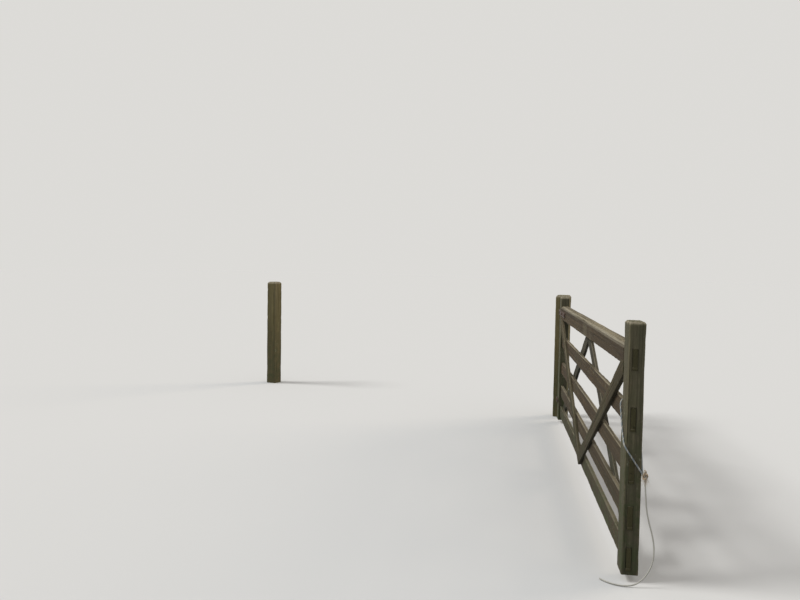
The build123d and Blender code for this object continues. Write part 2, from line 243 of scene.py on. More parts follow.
class Finish:
    """The nodes of a new material or world, which are put together from wires."""

    def __init__(self, owner):
        owner.use_nodes = True
        owner.node_tree.nodes.clear()
        self.owner, self.tree = owner, owner.node_tree

    def node(self, kind, options=None, inputs=None, out=0):
        """Adds a node: its options are set first, then its inputs, each a value or a wire."""
        made = self.tree.nodes.new(kind)
        for key, value in (options or {}).items():
            setattr(made, key, value)
        for key, value in (inputs or {}).items():
            socket = made.inputs[key]
            if isinstance(value, Wire):
                self.tree.links.new(value.socket, socket)
            elif socket.type == "VALUE":
                socket.default_value = float(value)
            elif socket.type == "RGBA":
                socket.default_value = (*tuple(value)[:3], 1.0)
            else:
                socket.default_value = tuple(value) if hasattr(value, "__len__") else (value,) * 3
        return Wire(self, made.outputs[out]) if len(made.outputs) else None

    def calc(self, operation, *values, out=0):
        """The result of a sum of wires and numbers, or of wires and vectors, which are tuples."""
        plain = all(
            (v.socket.type == "VALUE") if isinstance(v, Wire) else not isinstance(v, tuple)
            for v in values)
        kind = "ShaderNodeMath" if plain else "ShaderNodeVectorMath"
        return self.node(kind, {"operation": operation}, dict(enumerate(values)), out)

    def attribute(self, name, out="Fac"):
        """A number, or with out="Vector" a vector, that the piece's mesh holds."""
        return self.node("ShaderNodeAttribute", {"attribute_name": name}, out=out)

    def part(self, vector, axis):
        """One of a vector's three parts: 0 for x, 1 for y and 2 for z."""
        return self.node("ShaderNodeSeparateXYZ", None, {0: vector}, out=axis)

    def noise(self, vector, scale=1.0, detail=3.0, roughness=0.55):
        """Cloudy noise, from 0 to 1."""
        return self.node("ShaderNodeTexNoise", None, {
            "Vector": vector, "Scale": scale, "Detail": detail, "Roughness": roughness})

    def drawn(self, grain, along, across, detail, roughness=0.55):
        """Noise that is drawn out along the fibres: its scale along them and across them."""
        return self.noise(grain * (along, across, across), detail=detail, roughness=roughness)

    def rise(self, value, low, high):
        """0 at low and beyond, 1 at high and beyond, and a smooth step between them."""
        return self.node("ShaderNodeMapRange", {"interpolation_type": "SMOOTHSTEP"}, {
            "Value": value, "From Min": low, "From Max": high})

    def mix(self, share, first, second):
        """Colour: first where share is 0, second where it is 1."""
        return self.node("ShaderNodeMix", {"data_type": "RGBA"}, {0: share, 6: first, 7: second}, out=2)

    def lay(self, colour, *coats):
        """A colour with coats laid over it in turn, each of them a share and its colour."""
        for share, coat in coats:
            colour = self.mix(share, colour, coat)
        return colour

    def background(self):
        """1 for rays that show the background: the camera's, and those that gloss or glass send on."""
        seen = self.node("ShaderNodeLightPath", out="Is Camera Ray")
        for name in ("Is Glossy Ray", "Is Transmission Ray"):
            seen = self.calc("MAXIMUM", seen, self.node("ShaderNodeLightPath", out=name))
        return seen

    def close(self, colour, roughness, height, distance, metallic=0.0, strength=1.0, specular=0.3):
        """Ends the material in one shader with a bump of that height."""
        bump = self.node("ShaderNodeBump", None, {
            "Strength": strength, "Distance": distance, "Height": height})
        shader = self.node("ShaderNodeBsdfPrincipled", None, {
            "Base Color": colour, "Roughness": roughness, "Metallic": metallic,
            "Specular IOR Level": specular, "Normal": bump})
        self.node("ShaderNodeOutputMaterial", None, {"Surface": shader})
        return self.owner


def shade(colour, *shares):
    """A colour times a share, or times one share each for its red, green and blue."""
    return np.array(colour) * shares


def finish_named(name, make, **values):
    """A finish that is made once and shared: make adds its nodes to a new material."""
    return bpy.data.materials.get(name) or make(Finish(bpy.data.materials.new(name)), **values)


def timber_finish(f, heart, silvered, tan, algae, bleach=1.0, furrowed=1.0, tops=1.0):
    """Weathered timber with that heart colour. silvered, tan and algae say how strong those patches
    are, bleach how far the weather has whitened it and how strong the painted light on its upward
    faces and arrises is, tops how much of that the level upward faces take, and furrowed how dark
    its furrows are. Fibres, furrows and streaks run along s, year rings lie about the pith, and the
    mesh says where there are cracks, painted shade under the bevels, end grain, worn arrises, rust,
    damp and pale patches. The timber darkens towards the ground, as painted shade and as damp."""
    timber, metal = bpy.context.scene.field_gate_timber, bpy.context.scene.field_gate_metal
    silver, dark = timber.silver_colour, timber.dark_colour
    grain = f.attribute("grain", "Vector")
    crack, end, worn, stain, rust, drip, pale = (
        f.attribute(key) for key in ("crack", "end", "worn", "stain", "rust", "drip", "pale"))
    place = f.node("ShaderNodeTexCoord", out="Object")
    up = f.part(f.node("ShaderNodeNewGeometry", out="Normal"), 2)

    # The marks in the wood. The rings' rate is in radians to the metre: one ring takes 5.3 mm
    ring_rate, ring_wobble = 1180.0, 0.012
    wobble = f.drawn(grain, 1.6, 14.0, detail=2)
    radius = f.calc("LENGTH", grain * (0.0, 1.0, 1.0), out=1)
    ring = f.rise(f.calc("SINE", (radius + wobble * ring_wobble) * ring_rate), -0.6, 0.9)
    fibre = f.drawn(grain, 11.0, 520.0, detail=4, roughness=0.65)
    streak = f.drawn(grain, 1.3, 46.0, detail=5, roughness=0.6)
    furrow = f.rise(f.drawn(grain, 0.8, 118.0, detail=3, roughness=0.6), 0.54, 0.40)
    broad = f.drawn(grain, 0.9, 9.0, detail=3)
    patch = f.noise(grain * (2.1, 13.0, 13.0) + (3.1, 0.7, 5.3), detail=4, roughness=0.6)
    colour = f.mix(f.rise(streak, 0.30, 0.72), shade(heart, 0.60), shade(heart, 1.32))
    colour = f.lay(
        colour, (f.rise(patch, 0.50, 0.74) * tan, timber.tan_colour),
        (f.rise(broad, 0.42, 0.70) * silvered, shade(silver, 0.8)))

    # What sun and rain bleach, and painted light: upward faces are lighter partly from weather and
    # partly as painted light from above, worn arrises carry a painted highlight over their real wear,
    # and the pale patches are bleached
    top = f.rise(up, 0.66, 0.96)
    cloudy = f.rise(f.noise(place, 7.0, detail=5, roughness=0.62), 0.30, 0.62)
    lined = f.rise(streak, 0.42, 0.60)
    upper = f.rise(up, 0.05, 0.60)
    bleached = top * (0.10 + 0.45 * cloudy + 0.75 * lined) * tops + f.rise(up, 0.15, 0.75) * 0.26
    side_on = 0.16 + 0.42 * f.rise(up, -0.55, -0.05)
    bleached = bleached + worn * (side_on + 0.50 * upper) * f.rise(streak, 0.30, 0.54)
    # Painted highlight along the upper arrises, laid over their real wear
    wear_and_highlight = worn * upper * f.rise(streak, 0.34, 0.56)
    colour = f.lay(
        colour, (f.rise(bleached, 0.0, 1.2) * (1.0 - end * 0.2) * bleach, silver),
        (wear_and_highlight * 0.80 * bleach, shade(silver, 1.6, 1.68, 2.05)),
        (pale * (0.55 + 0.40 * lined), shade(silver, 0.75)))

    # What stays dark: furrows, the painted shade under the bevels, rings, fibres, and what is near
    # the ground, darkened as painted shade and as damp
    furrow = furrow * (1.0 - end) * furrowed
    colour = f.lay(
        colour, (furrow * (0.34 + 0.30 * top) * (1.0 - worn * 0.5), shade(dark, 1.3)),
        # painted shade just under the top rail's bevels
        (drip * 0.62, shade(heart, 0.42)),
        (ring * 0.28 * (1.0 - worn * 0.75), shade(heart, 0.5)),
        (f.rise(fibre, 0.60, 0.40) * 0.40, dark),
        # Painted shade near the ground, together with damp: darker towards the ground
        (f.rise(f.part(place, 2), 0.95, 0.0) * 0.38, dark))

    # What grows on it
    green = stain * f.rise(f.noise(place, 16.0, detail=6, roughness=0.7), 0.38, 0.60)
    spots = f.noise(place, 30.0, detail=6, roughness=0.68)
    lichen = f.rise(spots, 0.615, 0.68) * f.rise(f.noise(place, 4.2, detail=2), 0.46, 0.60)
    colour = f.lay(
        colour, (green * algae, timber.algae_colour), (lichen * 0.55, timber.lichen_colour))

    # End grain, with checks that run out from the pith, and then rust and cracks
    angle = f.calc("ARCTAN2", f.part(grain, 1), f.part(grain, 2))
    fan = f.node("ShaderNodeCombineXYZ", None, {0: angle * 3.4, 1: radius * 9.0, 2: 0.0})
    checks = f.rise(f.noise(fan, 1.0, detail=3, roughness=0.7), 0.60, 0.67) * end
    grey = shade(heart, 0.5) + shade(timber.algae_colour, 0.6)
    ends = f.mix(ring * 0.5, grey, shade(grey, 0.5))
    rusty = rust * f.rise(f.noise(place, 90.0, detail=3), 0.25, 0.7)
    colour = f.lay(
        colour, (end * (1.0 - f.rise(up, 0.6, 0.95) * 0.55), ends),
        (rusty, shade(metal.rust_colour, 0.36, 0.55, 0.80)),
        (f.rise(crack, 0.12, 0.75), shade(dark, 0.45)),
        (checks * 0.85, shade(dark, 0.5)))

    roughness = 0.80 + fibre * 0.16 - f.rise(bleached, 0.0, 1.0) * 0.06
    raised = (fibre * 0.55 + ring * 0.35 + streak * 0.5 + lichen * 0.4 - checks * 0.9
              - furrow * 0.6 - f.rise(crack, 0.0, 0.8) * 0.6)
    return f.close(colour, roughness, raised, 0.0016, strength=0.9, specular=0.25)


def iron_finish(f):
    """Rusted iron: dull dark scale, mottled with brown and orange rust, and pitted."""
    metal = bpy.context.scene.field_gate_metal
    place = f.node("ShaderNodeTexCoord", out="Object")
    cloud = f.noise(place, 38.0, detail=6, roughness=0.68)
    speck = f.noise(place, 420.0, detail=4, roughness=0.7)
    pits = f.noise(place, 170.0, detail=3, roughness=0.6)
    rusted = f.rise(cloud * 0.75 + speck * 0.25, 0.40, 0.62)
    colour = f.lay(
        metal.iron_colour, (rusted, shade(metal.rust_colour, 0.45)),
        (f.rise(cloud, 0.56, 0.72) * f.rise(speck, 0.42, 0.60), metal.rust_colour),
        (f.rise(pits, 0.62, 0.74) * 0.6, shade(metal.iron_colour, 0.3)))
    raised = cloud * 0.5 + speck * 0.35 - f.rise(pits, 0.55, 0.75)
    return f.close(
        colour, 0.48 + rusted * 0.36, raised, 0.0012, metallic=0.55 - rusted * 0.5, strength=0.8,
        specular=0.4)


def twine_finish(f, first, second, share):
    """Split-film twine: the first colour on the strands whose number, from 0 to 1, lies below
    share, the second on the others, fine filaments along the lay, dirt in the lay, and painted shade in
    the hollows between the strands."""
    strand, hollow, run = f.attribute("strand"), f.attribute("hollow"), f.attribute("lay", "Vector")
    filament = f.noise(run * (60.0, 3.2, 1.0), detail=4, roughness=0.7)
    dirt = f.noise(run * (14.0, 0.6, 1.0), detail=4)
    dirt_colour = (0.16, 0.135, 0.09)
    colour = f.lay(
        first, (f.rise(strand, share, share + 0.02), second),
        (f.rise(filament, 0.35, 0.75) * 0.4, np.minimum(shade(second, 1.35), 1)),
        # the hollows between the strands are darkened as painted shade
        (f.rise(dirt, 0.42, 0.75) * 0.32, dirt_colour), (hollow * 0.6, shade(first, 0.25)))
    return f.close(colour, 0.50 + filament * 0.25, filament - hollow * 0.6, 0.0006, strength=0.7)


# Surfaces


# Shares of an end face's reach at which the two small rings lie that close it
inner_rings = (0.33, 0.67)
# How worn the two ends of a flat side are, next to an arris
beside_arris = 0.6
# Half a crack's width in a board, the share of a crack over which it tapers off at each end, and
# how far it wanders sideways
board_crack, crack_taper, crack_wander = 0.0014, 0.3, 0.0015
# Ends of the timbers: how far each ring is drawn in, and how far it is from the end
sawn_foot = ((0.0, 0.0),)
tenon_end = ((0.0010, 0.0),)
post_top = ((0.0165, 0.0), (0.0110, 0.0052), (0.0045, 0.0130), (0.0, 0.0195))
stile_top = ((0.0100, 0.0), (0.0062, 0.0028), (0.0022, 0.0082), (0.0, 0.0120))


def eased(radius):
    """The end of a timber with its corners eased by that radius."""
    return ((radius, 0.0), (0.0, radius))


def value_noise(points, cell, seed):
    """Smooth noise from -1 to 1: a hashed number at each corner of a lattice with cells of that
    size, blended between the corners with the weight 3 f^2 - 2 f^3."""
    scaled = points / np.asarray(cell, float)
    base = np.floor(scaled).astype(np.int64)
    part = scaled - base
    weight = part * part * (3 - 2 * part)
    total = 0.0
    for corner in np.ndindex(*(2,) * points.shape[-1]):
        key = base + np.array(corner)
        mixed = np.full(key.shape[:-1], seed * 668265263, np.int64)
        for axis, prime in zip(range(key.shape[-1]), (374761393, 1103515245, 12820163)):
            mixed = (mixed ^ (key[..., axis] * prime)) * 2246822519 & 0xFFFFFFFF
            mixed ^= mixed >> 15
        share = np.prod(np.where(corner, weight, 1 - weight), axis=-1)
        total = total + share * (mixed / 0xFFFFFFFF)
    return total * 2 - 1


def step_up(value, low, high):
    """0 below low, 1 above high, 3 t^2 - 2 t^3 between them."""
    t = np.clip((value - low) / (high - low), 0, 1)
    return t * t * (3 - 2 * t)


def lines_on(length, spacing, extra):
    """Places along a side that is length long and centred on 0: even ones, and the extra ones,
    which push out any even one within a third of the spacing."""
    even = np.linspace(-length / 2, length / 2, max(2, round(length / spacing) + 1))
    extra = np.asarray(sorted(extra), float)
    if len(extra):
        near = np.abs(even[:, None] - extra).min(1) < spacing / 3
        near[[0, -1]] = False
        even = even[~near]
    return np.sort(np.concatenate([even, extra]))


def side_ways(side):
    """The way along one of a section's four sides, and the way out of it."""
    turn = side * math.pi / 2
    run = np.array([math.cos(turn), math.sin(turn)])
    return run, np.array([run[1], -run[0]])


def section(width, thickness, arris, spacing, extra=((), (), (), ())):
    """A rectangle with rounded arrises, centred on 0, once round from the side h = -thickness / 2:
    places (w, h), outward directions, and how worn each point is, 1 on an arris and 0 on a flat
    side but for its ends. Each arris is a quarter circle of that radius. extra holds more places
    on the four sides."""
    flat = (width - 2 * arris, thickness - 2 * arris)
    spots, outs, worn = [], [], []
    for side in range(4):
        run, out = side_ways(side)
        far = (thickness, width)[side % 2] / 2
        t = lines_on(flat[side % 2], spacing, extra[side])
        bend = (side - 1) * math.pi / 2 + np.array([1, 2]) * math.pi / 6
        ray = np.column_stack([np.cos(bend), np.sin(bend)])
        corner = run * flat[side % 2] / 2 + out * (far - arris)
        spots += [t[:, None] * run + out * far, corner + ray * arris]
        outs += [np.repeat(out[None], len(t), 0), ray]
        worn += [np.where(np.abs(t) > np.abs(t).max() - 1e-6, beside_arris, 0.0), np.ones(len(ray))]
    return np.concatenate(spots), np.concatenate(outs), np.concatenate(worn)


def crack_plan(seed, sides, reach, length, count, half, margin):
    """Places for drying cracks, the same each run: side, place across it within reach, start, stop
    and depth. Each is 0.12 to 0.42 of the length long, starts margin in or more, and is 1.6 to 3.2
    times as deep as it is wide, which is twice half. One too near to another is left out."""
    pick = np.random.default_rng(seed)
    plan = []
    for _ in range(count):
        side = int(pick.choice(sides))
        place = float(pick.uniform(-reach, reach))
        if any(p[0] == side and abs(p[1] - place) < 6 * half for p in plan):
            continue
        long = float(pick.uniform(0.12, 0.42) * length)
        start = float(pick.uniform(margin, max(margin + 0.01, length - long - margin)))
        plan.append((side, place, start, start + long, float(pick.uniform(1.6, 3.2)) * half * 2))
    return plan


def with_cracks(width, thickness, arris, cell, plan, half, extra=((), (), (), ())):
    """A section with three lines for every crack of the plan: its middle and its two lips."""
    more = [list(e) for e in extra]
    for side, place, *_ in plan:
        more[side] += [place - half, place, place + half]
    return section(width, thickness, arris, cell, more)


def quads_between(index):
    """Quads between neighbouring rings. index gives the points' numbers, ring by ring."""
    after = np.roll(index, -1, axis=-1)
    return np.stack([index[..., :-1, :], after[..., :-1, :], after[..., 1:, :], index[..., 1:, :]], -1)


def closed_faces(rows, columns):
    """Quads between rings of points, and triangles from the first and the last ring to one more
    point each, which come after all the rings."""
    index = np.arange(rows * columns).reshape(rows, columns)
    after = np.roll(index, -1, axis=1)
    tris = np.concatenate([
        np.column_stack([after[0], index[0], np.full(columns, rows * columns)]),
        np.column_stack([index[-1], after[-1], np.full(columns, rows * columns + 1)])])
    return quads_between(index), tris


def for_all(values, middle=0.0):
    """A number for every point: those of the rings, and the same one for both closing points."""
    return np.append(np.ravel(values), [middle, middle])


class Timber:
    """A timber as rings of points round its section, from one end to the other."""

    def __init__(self, around, stations, foot, top, seed):
        """around is a section. stations gives the s of every ring, ends included, at an array of w.
        foot and top list, for each ring near that end, how far it is drawn in and how far it is
        from the end. Inside each end ring lie two smaller ones and a middle point, which close it."""
        spots, self.outs, worn = around
        self.spots, self.seed = spots, seed
        level = stations(spots[:, 0])
        body = np.dstack([level[1:-1], *(np.repeat(c[None], len(level) - 2, 0) for c in spots.T)])
        rings = []
        for shape, row, way in ((foot, 0, 1), (top, -1, -1)):
            reach = np.abs(spots).max(0)
            drawn = [(spots * (1 - inset / reach), lead) for inset, lead in shape]
            layers = [(drawn[0][0] * share, 0.0) for share in inner_rings] + drawn
            rings.append(np.stack([
                np.column_stack([stations(p[:, 0])[row] + way * lead, p]) for p, lead in layers]))
        self.grid = np.concatenate([rings[0], body, rings[1][::-1]])
        self.rest = self.grid.copy()
        self.middles = np.array([[stations(np.zeros(1))[row][0], 0, 0] for row in (0, -1)], float)
        inner, cap = len(inner_rings), len(inner_rings) + 1
        self.first, self.last = len(foot) + inner, len(self.grid) - len(top) - inner
        self.crack, self.end, self.worn = np.zeros((3, *self.grid.shape[:2]))
        self.end[:cap] = 1
        self.end[-cap:] = 1
        self.worn[self.first - len(foot) + 1:self.last + len(top) - 1] = worn
        self.worn[cap:self.first] = 1
        self.worn[self.last:-cap] = 1

    def raise_grain(self, height, hollow=0.0):
        """Moves each point along its outward direction by noise drawn out along s, by a slow
        swell of twice that height, by an inward bite of up to three times that height where an
        arris is worn, and in by hollow. The end faces sink by up to twice the height."""
        grain_cell, swell_cell, end_cell = (0.35, 0.011, 0.011), (0.22, 0.06, 0.06), (0.009, 0.009)
        along, bite_cell = self.rest * (1, 0, 0) + (0, 1, 0), (0.05, 1, 1)
        drawn = value_noise(self.rest, grain_cell, self.seed)
        swell = value_noise(self.rest, swell_cell, self.seed + 1)
        bite = np.clip(value_noise(along, bite_cell, self.seed + 2), 0, 1)
        move = drawn * height + swell * height * 2 - self.worn * bite * (height * 3) - hollow
        self.grid[..., 1:] += (move * (1 - self.end))[..., None] * self.outs
        sunk = (1 + value_noise(self.rest[..., 1:], end_cell, self.seed + 3)) * height
        inward = np.where(np.arange(len(self.grid)) < len(self.grid) / 2, 1.0, -1.0)
        self.grid[..., 0] += self.end * sunk * inward[:, None]

    def column(self, side, place):
        """Which point of the section is nearest to a place along one of its sides."""
        run, out = side_ways(side)
        off = np.abs(self.spots @ run - place) + 10 * (self.outs @ out < 0.99)
        return int(off.argmin())

    def open_cracks(self, plan, shift):
        """Drying cracks; shift is where s starts. A crack's column sinks by its depth times a
        window that is 0 at start and stop and 1 between them, and times a noise from 0.5 to 1. It
        wanders sideways, and takes its two neighbours, its lips, along."""
        for side, place, start, stop, depth in plan:
            column, start, stop = self.column(side, place), start + shift, stop + shift
            s = self.rest[:, column, 0]
            run = (stop - start) * crack_taper
            window = step_up(s, start, start + run) * (1 - step_up(s, stop - run, stop))
            rough = 0.75 + 0.25 * value_noise(s[:, None], 0.02, self.seed + 5)
            out = self.outs[column]
            wander = value_noise(s[:, None] + column, 0.09, self.seed + 4) * crack_wander * np.sign(window)
            for near in (column - 1, column, (column + 1) % self.grid.shape[1]):
                self.grid[:, near, 1:] += wander[:, None] * (-out[1], out[0])
            self.grid[:, column, 1:] -= (depth * window * rough)[:, None] * out
            self.crack[:, column] = np.maximum(self.crack[:, column], window)

    def points(self):
        """Every point: the rings, then the two middle points."""
        return np.concatenate([self.grid.reshape(-1, 3), self.middles])

    def faces(self):
        """Quads between neighbouring rings, and triangles round the two middle points."""
        return closed_faces(*self.grid.shape[:2])

    def facts(self, pith):
        """What the finish reads: place from the pith, crack, end and worn, for every point."""
        whole = np.concatenate([self.rest.reshape(-1, 3), self.middles])
        return {
            "grain": whole - np.array([self.seed * -3.7, *pith]), "crack": for_all(self.crack),
            "end": for_all(self.end, 1.0), "worn": for_all(self.worn)}


def add_mesh(name, points, quads, tris=(), facts=None, turn=True):
    """Puts arrays into a new object. Its faces are turned round as one if the volume that they
    enclose, a sixth of the sum of a . (b x c) over its triangles, comes out below 0."""
    quads = np.asarray(quads, np.int64).reshape(-1, 4)
    tris = np.asarray(tris, np.int64).reshape(-1, 3)
    halves = np.concatenate([quads[:, [0, 1, 2]], quads[:, [0, 2, 3]], tris])
    a, b, c = (points[halves[:, k]] - points.mean(0) for k in range(3))
    if turn and (a * np.cross(b, c)).sum() < 0:
        quads, tris = quads[:, ::-1], tris[:, ::-1]
    mesh = bpy.data.meshes.new(name)
    mesh.vertices.add(len(points))
    mesh.vertices.foreach_set("co", points.astype(np.float32).ravel())
    corners = np.concatenate([quads.ravel(), tris.ravel()]).astype(np.int32)
    starts = np.concatenate([np.arange(len(quads)) * 4, len(quads) * 4 + np.arange(len(tris)) * 3])
    mesh.loops.add(len(corners))
    mesh.loops.foreach_set("vertex_index", corners)
    mesh.polygons.add(len(starts))
    mesh.polygons.foreach_set("loop_start", starts.astype(np.int32))
    mesh.polygons.foreach_set("use_smooth", np.ones(len(starts), bool))
    mesh.update(calc_edges=True)
    for key, values in (facts or {}).items():
        values = np.asarray(values, np.float32)
        kind, field = ("FLOAT_VECTOR", "vector") if values.ndim == 2 else ("FLOAT", "value")
        mesh.attributes.new(key, kind, "POINT").data.foreach_set(field, values.ravel())
    mesh.set_sharp_from_angle(angle=math.radians(45))
    if mesh.validate():
        raise RuntimeError(f"{name}: its mesh had faults")
    return add_object(name, mesh)


def add_object(name, data):
    """A new object of the scene."""
    made = bpy.data.objects.new(name, data)
    bpy.context.scene.collection.objects.link(made)
    return made


def settle(piece, body, slot, finish, *nodes):
    """Gives a piece its body and finish, and has it stand for these CAD nodes. slot is not used."""
    piece.data.materials.append(finish)
    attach(piece, body)
    if nodes:
        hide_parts(*nodes)


def iron_spots():
    """Where iron meets the timber, as points of the model: both ends of the bolts, and the nuts."""
    bolt_inset, face = 0.014, 0.04
    spots = []
    for name, count in (("top_band_bolts", 3), ("bottom_band_bolts", 1)):
        low, high = gate_box(name)
        inset = (high[0] - low[0]) / 2 if count == 1 else bolt_inset
        across = np.linspace(low[0] + inset, high[0] - inset, count)
        spots += [(u, v, (low[2] + high[2]) / 2) for u in across for v in (face, -face)]
    nuts = [np.mean(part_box(name), axis=0) for name in ("top_hook_nut", "bottom_hook_nut")]
    return np.concatenate([from_gate(spots), nuts])


def rust_near(points, spots, reach=0.020, run=0.045):
    """Rust by each iron spot, 1 at the spot: it falls off with the squared distance over reach
    squared, and trails down over run metres below it."""
    if not len(spots):
        return np.zeros(len(points))
    away = points[:, None] - spots[None]
    flat = (away[..., :2] ** 2).sum(-1)
    below, above = np.clip(-away[..., 2], 0, None), np.clip(away[..., 2], 0, None)
    rust = np.exp(-(flat + above**2) / reach**2 - below / run - (below / (3 * run)) ** 2)
    return np.clip(rust.max(1), 0, 1)


def damp(points, low, high):
    """Green film: it falls from 1 at the height low to 0 at high, and patches of it come and go."""
    patch_cell, patch_seed = (0.25, 0.25, 0.35), 77
    patch = value_noise(points, patch_cell, patch_seed)
    return np.clip(1 - step_up(points[:, 2], low, high) + 0.35 * patch, 0, 1)


def place_timber(node, piece, timber, to_model, slot, finish, pith, wet, spots, sides=None, **more):
    """Puts a timber in its CAD node's place. The green film fades between the two heights wet, and
    iron at the spots rusts on it. sides takes the place of its side faces; more holds more facts."""
    points = to_model(timber.points())
    quads, tris = timber.faces()
    facts = {**timber.facts(pith), "stain": damp(points, *wet), "rust": rust_near(points, spots), **more}
    made = add_mesh(piece, points, quads if sides is None else sides, tris, facts)
    settle(made, "posts" if slot == "post_timber" else "gate", slot, finish, node)
    return made


def upright(points, middle):
    """An upright timber's places s, w, h as w, h, s moved by middle: as x, y, z, or as u, v, z."""
    return points[:, [1, 2, 0]] + middle


def square_across(levels):
    """The stations of a timber whose rings lie square across it, at these places along it."""
    return lambda w: levels[:, None] + 0 * w


# The stage


class Step:
    """What all the steps share."""

    bl_options = {"REGISTER", "UNDO"}


def facing(x, y, z, place=(0, 0, 0)):
    """A matrix with these three axes at that place."""
    matrix = np.eye(4)
    matrix[:3] = np.column_stack([x, y, z, place])
    return Matrix(matrix.tolist())


def lay_floor(stage):
    """A wide pale floor. Only rays that show it see its full colour: the light that it throws back
    on the timber is bounce times as strong."""
    reach, sunk = 90.0, 0.0005
    corners = np.array([[-reach, -reach, 0], [reach, -reach, 0], [reach, reach, 0], [-reach, reach, 0]])
    floor = add_mesh("floor", corners - (0, 0, sunk), [[0, 1, 2, 3]], turn=False)
    f = Finish(bpy.data.materials.new("pale_floor"))
    tint = f.mix(f.background(), shade(stage.floor_colour, stage.bounce), stage.floor_colour)
    shader = f.node("ShaderNodeBsdfPrincipled", None, {
        "Base Color": tint, "Roughness": 0.9, "Specular IOR Level": 0.0})
    f.node("ShaderNodeOutputMaterial", None, {"Surface": shader})
    floor.data.materials.append(f.owner)


def light_sky(stage):
    """Even light from all round, behind which the background shows at its own brightness."""
    f = Finish(bpy.data.worlds.new("studio"))
    level = f.background() * (stage.backdrop - stage.sky_strength) + stage.sky_strength
    sky = f.node("ShaderNodeBackground", None, {"Color": (1.0, 0.985, 0.95), "Strength": level})
    f.node("ShaderNodeOutputWorld", None, {"Surface": sky})
    bpy.context.scene.world = f.owner


def hang_lamps(stage):
    """The soft key light and the low warm light, each with its colour, width and direction."""
    lamps = (
        ("key", stage.key_strength, (1.0, 0.965, 0.90), math.radians(20), (-0.85, -0.40, 0.95)),
        ("warm", stage.rim_strength, (1.0, 0.84, 0.66), math.radians(28), (0.75, 1.0, 0.45)))
    for name, strength, colour, angle, towards in lamps:
        lamp = bpy.data.lights.new(name, "SUN")
        lamp.energy, lamp.color, lamp.angle = strength, colour, angle
        z = np.array(towards) / np.linalg.norm(towards)
        x = np.cross((0, 0, 1), z)
        x /= np.linalg.norm(x)
        add_object(name, lamp).matrix_world = facing(x, np.cross(z, x), z)


def set_camera(stage):
    """The photo's camera."""
    yaw, pitch, roll = stage.camera_yaw, stage.camera_pitch, stage.camera_roll
    ahead = np.array([
        math.sin(yaw) * math.cos(pitch), math.cos(yaw) * math.cos(pitch), -math.sin(pitch)])
    right = np.array([math.cos(yaw), -math.sin(yaw), 0.0])
    down = np.cross(ahead, right)
    rolled = math.cos(roll) * right + math.sin(roll) * down
    below = math.cos(roll) * down - math.sin(roll) * right
    lens = bpy.data.cameras.new("camera")
    lens.sensor_width, lens.lens = 36.0, stage.focal_length
    lens.clip_start, lens.clip_end = 0.05, 500.0
    camera = add_object("camera", lens)
    camera.matrix_world = facing(rolled, -below, -ahead, stage.camera_place)
    bpy.context.scene.camera = camera


class FIELDGATE_OT_stage(Step, bpy.types.Operator):
    """Lay the floor, hang the lights and set up the camera"""

    bl_idname = "fieldgate.stage"
    bl_label = "Stage"

    def execute(self, context):
        for make in (lay_floor, light_sky, hang_lamps, set_camera):
            make(context.scene.field_gate_stage)
        context.scene.view_settings.view_transform = "Standard"
        return {"FINISHED"}


# Twine


# Where the loose end of the twine runs, from the knot to its end: u from the head stile's outer
# face, v and z
tail_route = (
    (0.007, -0.056, 0.520), (0.010, -0.058, 0.478), (0.013, -0.061, 0.436), (0.014, -0.066, 0.372),
    (0.016, -0.080, 0.308), (0.022, -0.098, 0.246), (0.029, -0.106, 0.182), (0.034, -0.100, 0.118),
    (0.042, -0.072, 0.060), (0.052, -0.028, 0.018), (0.056, 0.022, 0.005), (0.048, 0.072, 0.005),
    (0.024, 0.114, 0.005), (-0.008, 0.142, 0.005),
)
# Where its tied turn runs: from the knot up the far face, over the second rail, slack down the
# near face and across the outer face back to the knot. Its points stand off the stile's edges
loop_route = (
    (-0.004, -0.0443, 0.549), (-0.112, -0.0445, 0.836), (-0.133, -0.0500, 0.887),
    (-0.1315, 0.000, 0.885), (-0.133, 0.0490, 0.889), (-0.100, 0.0470, 0.815),
    (-0.067, 0.0450, 0.735), (-0.034, 0.0450, 0.706), (0.0125, 0.0500, 0.684),
    (0.0085, 0.000, 0.611), (0.0063, -0.044, 0.545),
)


def smooth_line(name, route):
    """A smooth line with the route's points as its control points, and the places along it."""
    curve = bpy.data.curves.new(name, "CURVE")
    curve.dimensions, curve.resolution_u = "3D", 24
    spline = curve.splines.new("NURBS")
    spline.points.add(len(route) - 1)
    spline.points.foreach_set("co", np.column_stack([route, np.ones(len(route))]).ravel())
    spline.order_u, spline.use_endpoint_u = 3, True
    holder = add_object(name, curve)
    bpy.context.view_layer.update()
    mesh = bpy.data.meshes.new_from_object(holder)
    places = places_of(mesh)
    bpy.data.meshes.remove(mesh)
    bpy.data.objects.remove(holder)
    bpy.data.curves.remove(curve)
    return places


def run_along(line):
    """How far along a line each of its points is."""
    return np.concatenate([[0], np.cumsum(np.linalg.norm(np.diff(line, axis=0), axis=1))])


def unit(vectors):
    """The vectors, each with a length of 1."""
    return vectors / np.linalg.norm(vectors, axis=1)[:, None]


